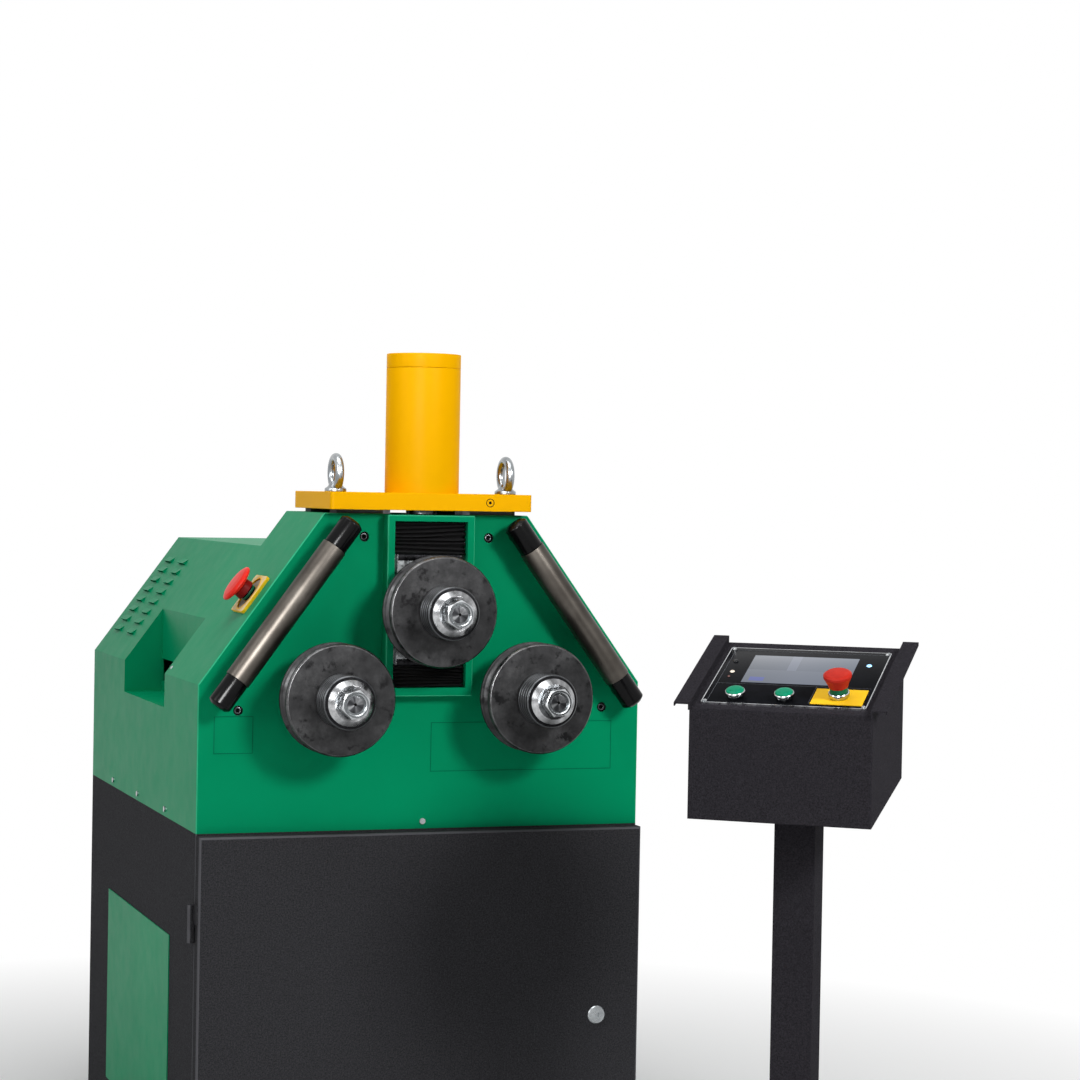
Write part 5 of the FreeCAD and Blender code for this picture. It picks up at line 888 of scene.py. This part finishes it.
# --- console face
PANEL_HALF, PANEL_LOW, PANEL_RUN = 118.8, 14.3, 175.6
SCREEN_HALF, SCREEN_LOW, SCREEN_RUN = 77.0, 79.8, 86.0
FILM_INSET, LINE_WIDTH, LINE_HEIGHT, STOP_FIELD = 1.3, 0.45, 0.1, 40
LAMP_RUN = 146


def flat_piece(name, left, right, low, high, lift, thick, material, slot, bevel):
    """A thin plate on the panel with a UV map from corner to corner."""
    vertices, faces = block_mesh((left, low, lift), (right, high, lift + thick), panel_matrix(), bevel, 2)
    piece = add_piece(name, vertices, faces, material, "machine", slot)
    add_map(piece, panel_matrix(),
            lambda spot: ((spot.x / MM - left) / (right - left), (spot.y / MM - low) / (high - low)))
    return piece


def make_console_face():
    """The panel's dark film with fine lines on it, and the touch screen."""
    rim, top = FILM_INSET, PANEL_LOW + PANEL_RUN
    flat_piece("panel_film", -PANEL_HALF + rim, PANEL_HALF - rim, PANEL_LOW + rim, top - rim,
               PANEL_TOP - 0.1, 0.25, PANEL_FILM, "panel_film", 0.08)
    screen = flat_piece("touch_screen", -SCREEN_HALF, SCREEN_HALF, SCREEN_LOW, SCREEN_LOW + SCREEN_RUN,
                        PANEL_TOP, 0.75, DISPLAY, "screen_glass", 0.1)
    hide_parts("console_screen")
    lines = []
    left, right, low, high = -PANEL_HALF + 8, PANEL_HALF - 6, PANEL_LOW + 8, top - 9
    lift, split, field = PANEL_TOP + LINE_HEIGHT, SCREEN_LOW - 5, STOP_SPOT[0] - STOP_FIELD
    for x, end_x, y, end_y in ((left, right, high, high + LINE_WIDTH), (left, right, split, split + LINE_WIDTH),
                               (left, left + LINE_WIDTH, low, high), (field, field + LINE_WIDTH, low, split)):
        lines.append(block_mesh((x, y, lift), (end_x, end_y, lift + LINE_HEIGHT), panel_matrix(), 0))
    joined("panel_lines", lines, PRINT_GREY, "machine", "panel_film")


def make_lamps():
    """The two lamps that the solids hold, and the two small lights of the photo below the left one."""
    for name, across, material in (("left_lamp", -102, LAMP_OFF), ("right_lamp", 95, LAMP_BLUE)):
        dome = rounded([(0, 2.0), (3.0, 1.6, 2), (4.0, 0.4, 0.4), (4.0, 0)], 0.5, 4)
        piece = lathe(name, dome, on_panel(across, LAMP_RUN), material, "machine", "lamp_lens", 40, sharp=60)
        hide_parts("console_indicators")
    # The upper small light's glowing pale heart is a painted highlight.
    for name, across, run, radius, material in (("warm_light", -98, 112, 3.6, LAMP_WARM),
                                                ("dull_light", -99, 96, 2.2, LAMP_DULL)):
        dome = rounded([(0, 1.5), (radius * 0.7, 1.2, 1), (radius, 0.3, 0.3), (radius, 0)], 0.4, 4)
        lathe(name, dome, on_panel(across, run), material, "machine", "lamp_lens", 40, sharp=60)


# --- small things on the hood and panel
BLANK_PLACES = ((-344, -281, 125, 184), (12, 323, 91.5, 171))
OUTLINE_WIDTH = 1.1
PLUG_X = 97
FRONT_SCREWS = ((104.5, 1109), (-104.5, 1109), (305.5, 833), (-305.5, 833))
SCREW_SINK = 2.6
PANEL_SCREW_INSET = 5.2
LEGEND_HALF, LEGEND_CORNER, LEGEND_OPENING = (34.2, 38.2), 5.5, 32.5


def make_blank_plates():
    """Two bare places on the green front, each with a thin outline in a darker green."""
    parts = []
    face = FRONT / MM
    for left, right, low, high in BLANK_PLACES:
        bottom, top = BASE / MM + low, BASE / MM + high
        for x, end_x, z, end_z in ((left, right, top - OUTLINE_WIDTH, top),
                                   (left, right, bottom, bottom + OUTLINE_WIDTH),
                                   (left, left + OUTLINE_WIDTH, bottom, top),
                                   (right - OUTLINE_WIDTH, right, bottom, top)):
            parts.append(block_mesh((x, face - 0.25, z), (end_x, face + 0.1, end_z), bevel=0))
    joined("blank_outlines", parts, BLANK_EDGE, "machine", "green_paint")


def make_port_plug():
    """The plate's port plug, painted over with the plate, with painted shadow in the seam round it and in its socket.
    """
    low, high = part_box("top_plate")
    matrix = axis_matrix((PLUG_X * MM, low.y, (low.z + high.z) / 2), (0, -1, 0))
    seam = rounded([(5.7, -0.9), (7.4, -0.9), (7.4, -0.35), (5.7, -0.35)], 0.1, 2, True)
    hole = rounded([(0, -0.5), (2.4, -0.5, 0.1), (2.4, -0.9)], 0.1, 2)
    parts = [lathe_mesh(seam, matrix, 48, True), lathe_mesh(hole, matrix, 32)]
    # Seam ring and socket are painted shadow black.
    joined("plug_seam", parts, SHADOW_BLACK, "machine", "dark_steel", 30)
    disc = rounded([(2.2, -0.9), (2.5, -0.15, 0.2), (5.6, -0.15, 0.3), (5.9, -0.9)], 0.1, 3)
    lathe("plug_face", disc, matrix, YELLOW, "machine", "yellow_paint", 48)


def make_screw_rims():
    """Bare steel rims on the sunk socket screws of the front."""
    parts = []
    y = FRONT / MM + SCREW_SINK
    for x, z in FRONT_SCREWS:
        matrix = axis_matrix((x * MM, y * MM, z * MM), (0, -1, 0))
        ring = rounded([(3.4, -0.6), (3.4, 0.0, 0.2), (4.0, 0.5, 0.3), (5.4, 0.2, 0.6), (5.6, -0.6)], 0.3, 3, True)
        parts.append(lathe_mesh(ring, matrix, 48, True))
    joined("screw_rims", parts, SHAFT_STEEL, "machine", "dark_steel", 40)


def screw_dome(radius, rise):
    """The section of a small domed screw head."""
    return rounded([(0, rise), (radius * 0.6, rise * 0.85, 0.8), (radius, 0.15, 0.15), (radius, -0.4)], 0.2, 4)


def make_small_screws():
    """The slope's screw beside the niche, and the bright corner screws of the console panel."""
    slope = slope_matrix()
    slope.translation = Vector(SLOPE_SCREW)
    lathe("slope_screw", screw_dome(3.6, 1.7), slope, ZINC, "machine", "zinc_steel", 40, sharp=50)
    runs = (PANEL_LOW + PANEL_SCREW_INSET, PANEL_LOW + PANEL_RUN - PANEL_SCREW_INSET)
    parts = [lathe_mesh(screw_dome(3.0, 1.5), on_panel(side * (PANEL_HALF - PANEL_SCREW_INSET), run), 32)
             for side in (-1, 1) for run in runs]
    joined("panel_screws", parts, CHROME, "machine", "chrome", 50)


def legend_film_mesh(low, high, matrix):
    """A thin film with rounded corners and a round opening, from one height to another."""
    (half_x, half_y), corner, segments = LEGEND_HALF, LEGEND_CORNER, 96
    vertices, faces = [], []
    for step in range(segments):
        angle = math.tau * step / segments
        cosine, sine = math.cos(angle), math.sin(angle)
        reach = min(half_x / max(abs(cosine), 1e-6), half_y / max(abs(sine), 1e-6))
        x, y = reach * cosine, reach * sine
        away = Vector((max(abs(x) - (half_x - corner), 0), max(abs(y) - (half_y - corner), 0)))
        if away.x > 0 and away.y > 0 and away.length > corner:
            away = away.normalized() * corner
            x = math.copysign(half_x - corner + away.x, x)
            y = math.copysign(half_y - corner + away.y, y)
        inner = (LEGEND_OPENING * cosine, LEGEND_OPENING * sine)
        for place in ((*inner, low), (*inner, high), (x, y, high), (x, y, low)):
            vertices.append(matrix @ (Vector(place) * MM))
    for step in range(segments):
        following = (step + 1) % segments
        for index in range(4):
            there = (index + 1) % 4
            faces.append((step * 4 + index, following * 4 + index, following * 4 + there, step * 4 + there))
    return vertices, faces


def make_slope_legend():
    """The stop's legend plate: a cream film round a yellow ring and a grey sunk face, all left bare."""
    matrix = slope_matrix()
    add_piece("legend_film", *legend_film_mesh(4.9, 5.2, matrix), LEGEND_CREAM, "machine", "yellow_paint")
    ring = rounded([(29.2, 4.9), (29.2, 5.5, 0.2), (32.4, 5.5, 0.2), (32.4, 4.9)], 0.1, 2, True)
    lathe("legend_ring", ring, matrix, LEGEND_YELLOW, "machine", "yellow_paint", 96, True)
    face = rounded([(15.4, 2.75), (15.4, 3.1, 0.1), (28.6, 3.1, 0.1), (28.6, 2.75)], 0.1, 2, True)
    lathe("legend_face", face, matrix, LEGEND_GREY, "machine", "yellow_paint", 96, True)


# --- carried nodes
def finish_carried_nodes():
    assign(GREEN, "hood", "side_cover", "window_frame", "rear_cover")
    assign(YELLOW, "top_plate")
    assign(LEGEND_YELLOW, "estop_plates")
    assign(BLACK_COAT, "base_cabinet", "cabinet_door", "door_hinges")
    assign(CONSOLE_COAT, "console_box", "console_stand")
    assign(MACHINE_GREY, "frame_bed", "front_bearing_plate", "rear_bearing_plate", "electrical_box")
    assign(BRIGHT_STEEL, "frame_tie_bars", "lower_bearings", "top_bearings", "guide_axles")
    # The piston rod takes the darker shaft steel rather than chrome: painted shade.
    assign(SHAFT_STEEL, "top_shaft", "left_shaft", "right_shaft", "piston_rod")
    assign(ZINC, "anchor_feet", "cover_screws", "door_latch")
    assign(CARRIAGE_STEEL, "carriage")
    assign(BLACK_STEEL, "frame_screws")
    # The carriage guides take the darker gear steel: painted shade.
    assign(GEAR_STEEL, "left_gear", "right_gear", "drive_pinion", "carriage_guides")
    assign(CAST_BLUE_GREY, "gear_motor", "hydraulic_power_pack")
    assign(PIPE_STEEL, "hydraulic_lines")
    assign(PANEL_ALUMINIUM, "console_panel")


# --- studio and camera
FLOOR_HALF = 30
FADE_REACH, FADE_START, FADE_END = 6.0, 0.12, 0.36
AMBIENT = 0.08
LIGHT_TARGET = (0, -0.3, 0.9)


def area_light(name, place, size, energy, diffuse=True, glossy=True):
    """A lamp at a place in metres that faces the machine; it can light surfaces, reflections or both."""
    data = bpy.data.lights.new(name, "AREA")
    data.shape = "RECTANGLE"
    data.size, data.size_y = size
    data.energy = energy
    light = bpy.data.objects.new(name, data)
    light.visible_diffuse = diffuse
    light.visible_glossy = glossy
    light.location = place
    light.rotation_euler = (Vector(LIGHT_TARGET) - Vector(place)).to_track_quat("-Z", "Y").to_euler()
    bpy.context.scene.collection.objects.link(light)


def make_floor():
    """A pale floor that fades into the white background away from the machine."""
    shader = Shader("studio_floor")
    shader.set(color=srgb("eceded"), rough=0.7)
    distance = shader.node("VectorMath", {0: shader.place.outputs["Object"]}, operation="LENGTH")
    share = shader.math("DIVIDE", distance.outputs["Value"], FADE_REACH)
    fade = shader.ramp(share, (FADE_START, 0.0), (FADE_END, 1.0))
    white = shader.node("Emission", {"Strength": 1.0})
    shader.end_with("Material Output", shader.math("MULTIPLY", fade, shader.seen()), shader.bsdf, white)
    mesh = bpy.data.meshes.new("studio_floor")
    half = FLOOR_HALF
    mesh.from_pydata([(-half, -half, 0), (half, -half, 0), (half, half, 0), (-half, half, 0)], [], [(0, 1, 2, 3)])
    mesh.materials.append(shader.material)
    floor = bpy.data.objects.new("studio_floor", mesh)
    bpy.context.scene.collection.objects.link(floor)


def make_world():
    """A faint even light, and white where a ray sees the background."""
    world = bpy.data.worlds.new("studio")
    bpy.context.scene.world = world
    world.use_nodes = True
    nodes = Nodes(world.node_tree)
    ambient, white = world.node_tree.nodes["Background"], nodes.node("Background")
    for background, strength in ((ambient, AMBIENT), (white, 1.0)):
        background.inputs["Color"].default_value = (1, 1, 1, 1)
        background.inputs["Strength"].default_value = strength
    nodes.end_with("World Output", nodes.seen(), ambient, white)


CAMERA_PLACE = (-1.28905, -4.62601, 1.18488)
CAMERA_YAW, CAMERA_PITCH, CAMERA_ROLL = 0.34097, 0.01762, 0.0181
FOCAL_PIXELS, FRAME_PIXELS, SENSOR = 2716.85, 1080, 36.0


def make_camera():
    """The photograph's viewpoint: a long lens from the left, almost level."""
    yaw, pitch, roll = CAMERA_YAW, CAMERA_PITCH, CAMERA_ROLL
    ahead = Vector((math.sin(yaw) * math.cos(pitch), math.cos(yaw) * math.cos(pitch), -math.sin(pitch)))
    right = Vector((math.cos(yaw), -math.sin(yaw), 0))
    up = right.cross(ahead)
    turned_right = right * math.cos(roll) + up * math.sin(roll)
    turned_up = up * math.cos(roll) - right * math.sin(roll)
    data = bpy.data.cameras.new("photo_camera")
    data.sensor_fit = "HORIZONTAL"
    data.sensor_width = SENSOR
    data.lens = FOCAL_PIXELS / FRAME_PIXELS * SENSOR
    data.clip_end = 100
    camera = bpy.data.objects.new("photo_camera", data)
    camera.matrix_world = Matrix((turned_right, turned_up, -ahead)).transposed().to_4x4()
    camera.matrix_world.translation = Vector(CAMERA_PLACE)
    bpy.context.scene.collection.objects.link(camera)
    bpy.context.scene.camera = camera


def make_studio():
    """Floor, background and lamps; the energies are in watts."""
    make_floor()
    make_world()
    area_light("top_softbox", (-0.6, -1.0, 3.4), (2.2, 1.6), 50)
    area_light("left_softbox", (-3.9, -1.5, 2.4), (1.1, 1.8), 50)
    area_light("right_softbox", (1.3, -3.9, 2.6), (0.8, 0.8), 102)
    area_light("left_reflector", (-1.95, -4.2, 2.0), (1.1, 1.3), 300, diffuse=False)
    area_light("rear_softbox", (1.6, 3.4, 2.9), (1.8, 1.8), 45, glossy=False)
    bpy.context.scene.view_settings.view_transform = "Standard"


make_rolls()
make_guides()
make_all_bellows()
make_bellows_strips()
make_cylinder()
make_eyes()
make_slope_stop()
make_console_stop()
make_buttons()
make_collars()
make_console_face()
make_lamps()
make_blank_plates()
make_port_plug()
make_screw_rims()
make_small_screws()
make_slope_legend()
finish_carried_nodes()
make_studio()
make_camera()
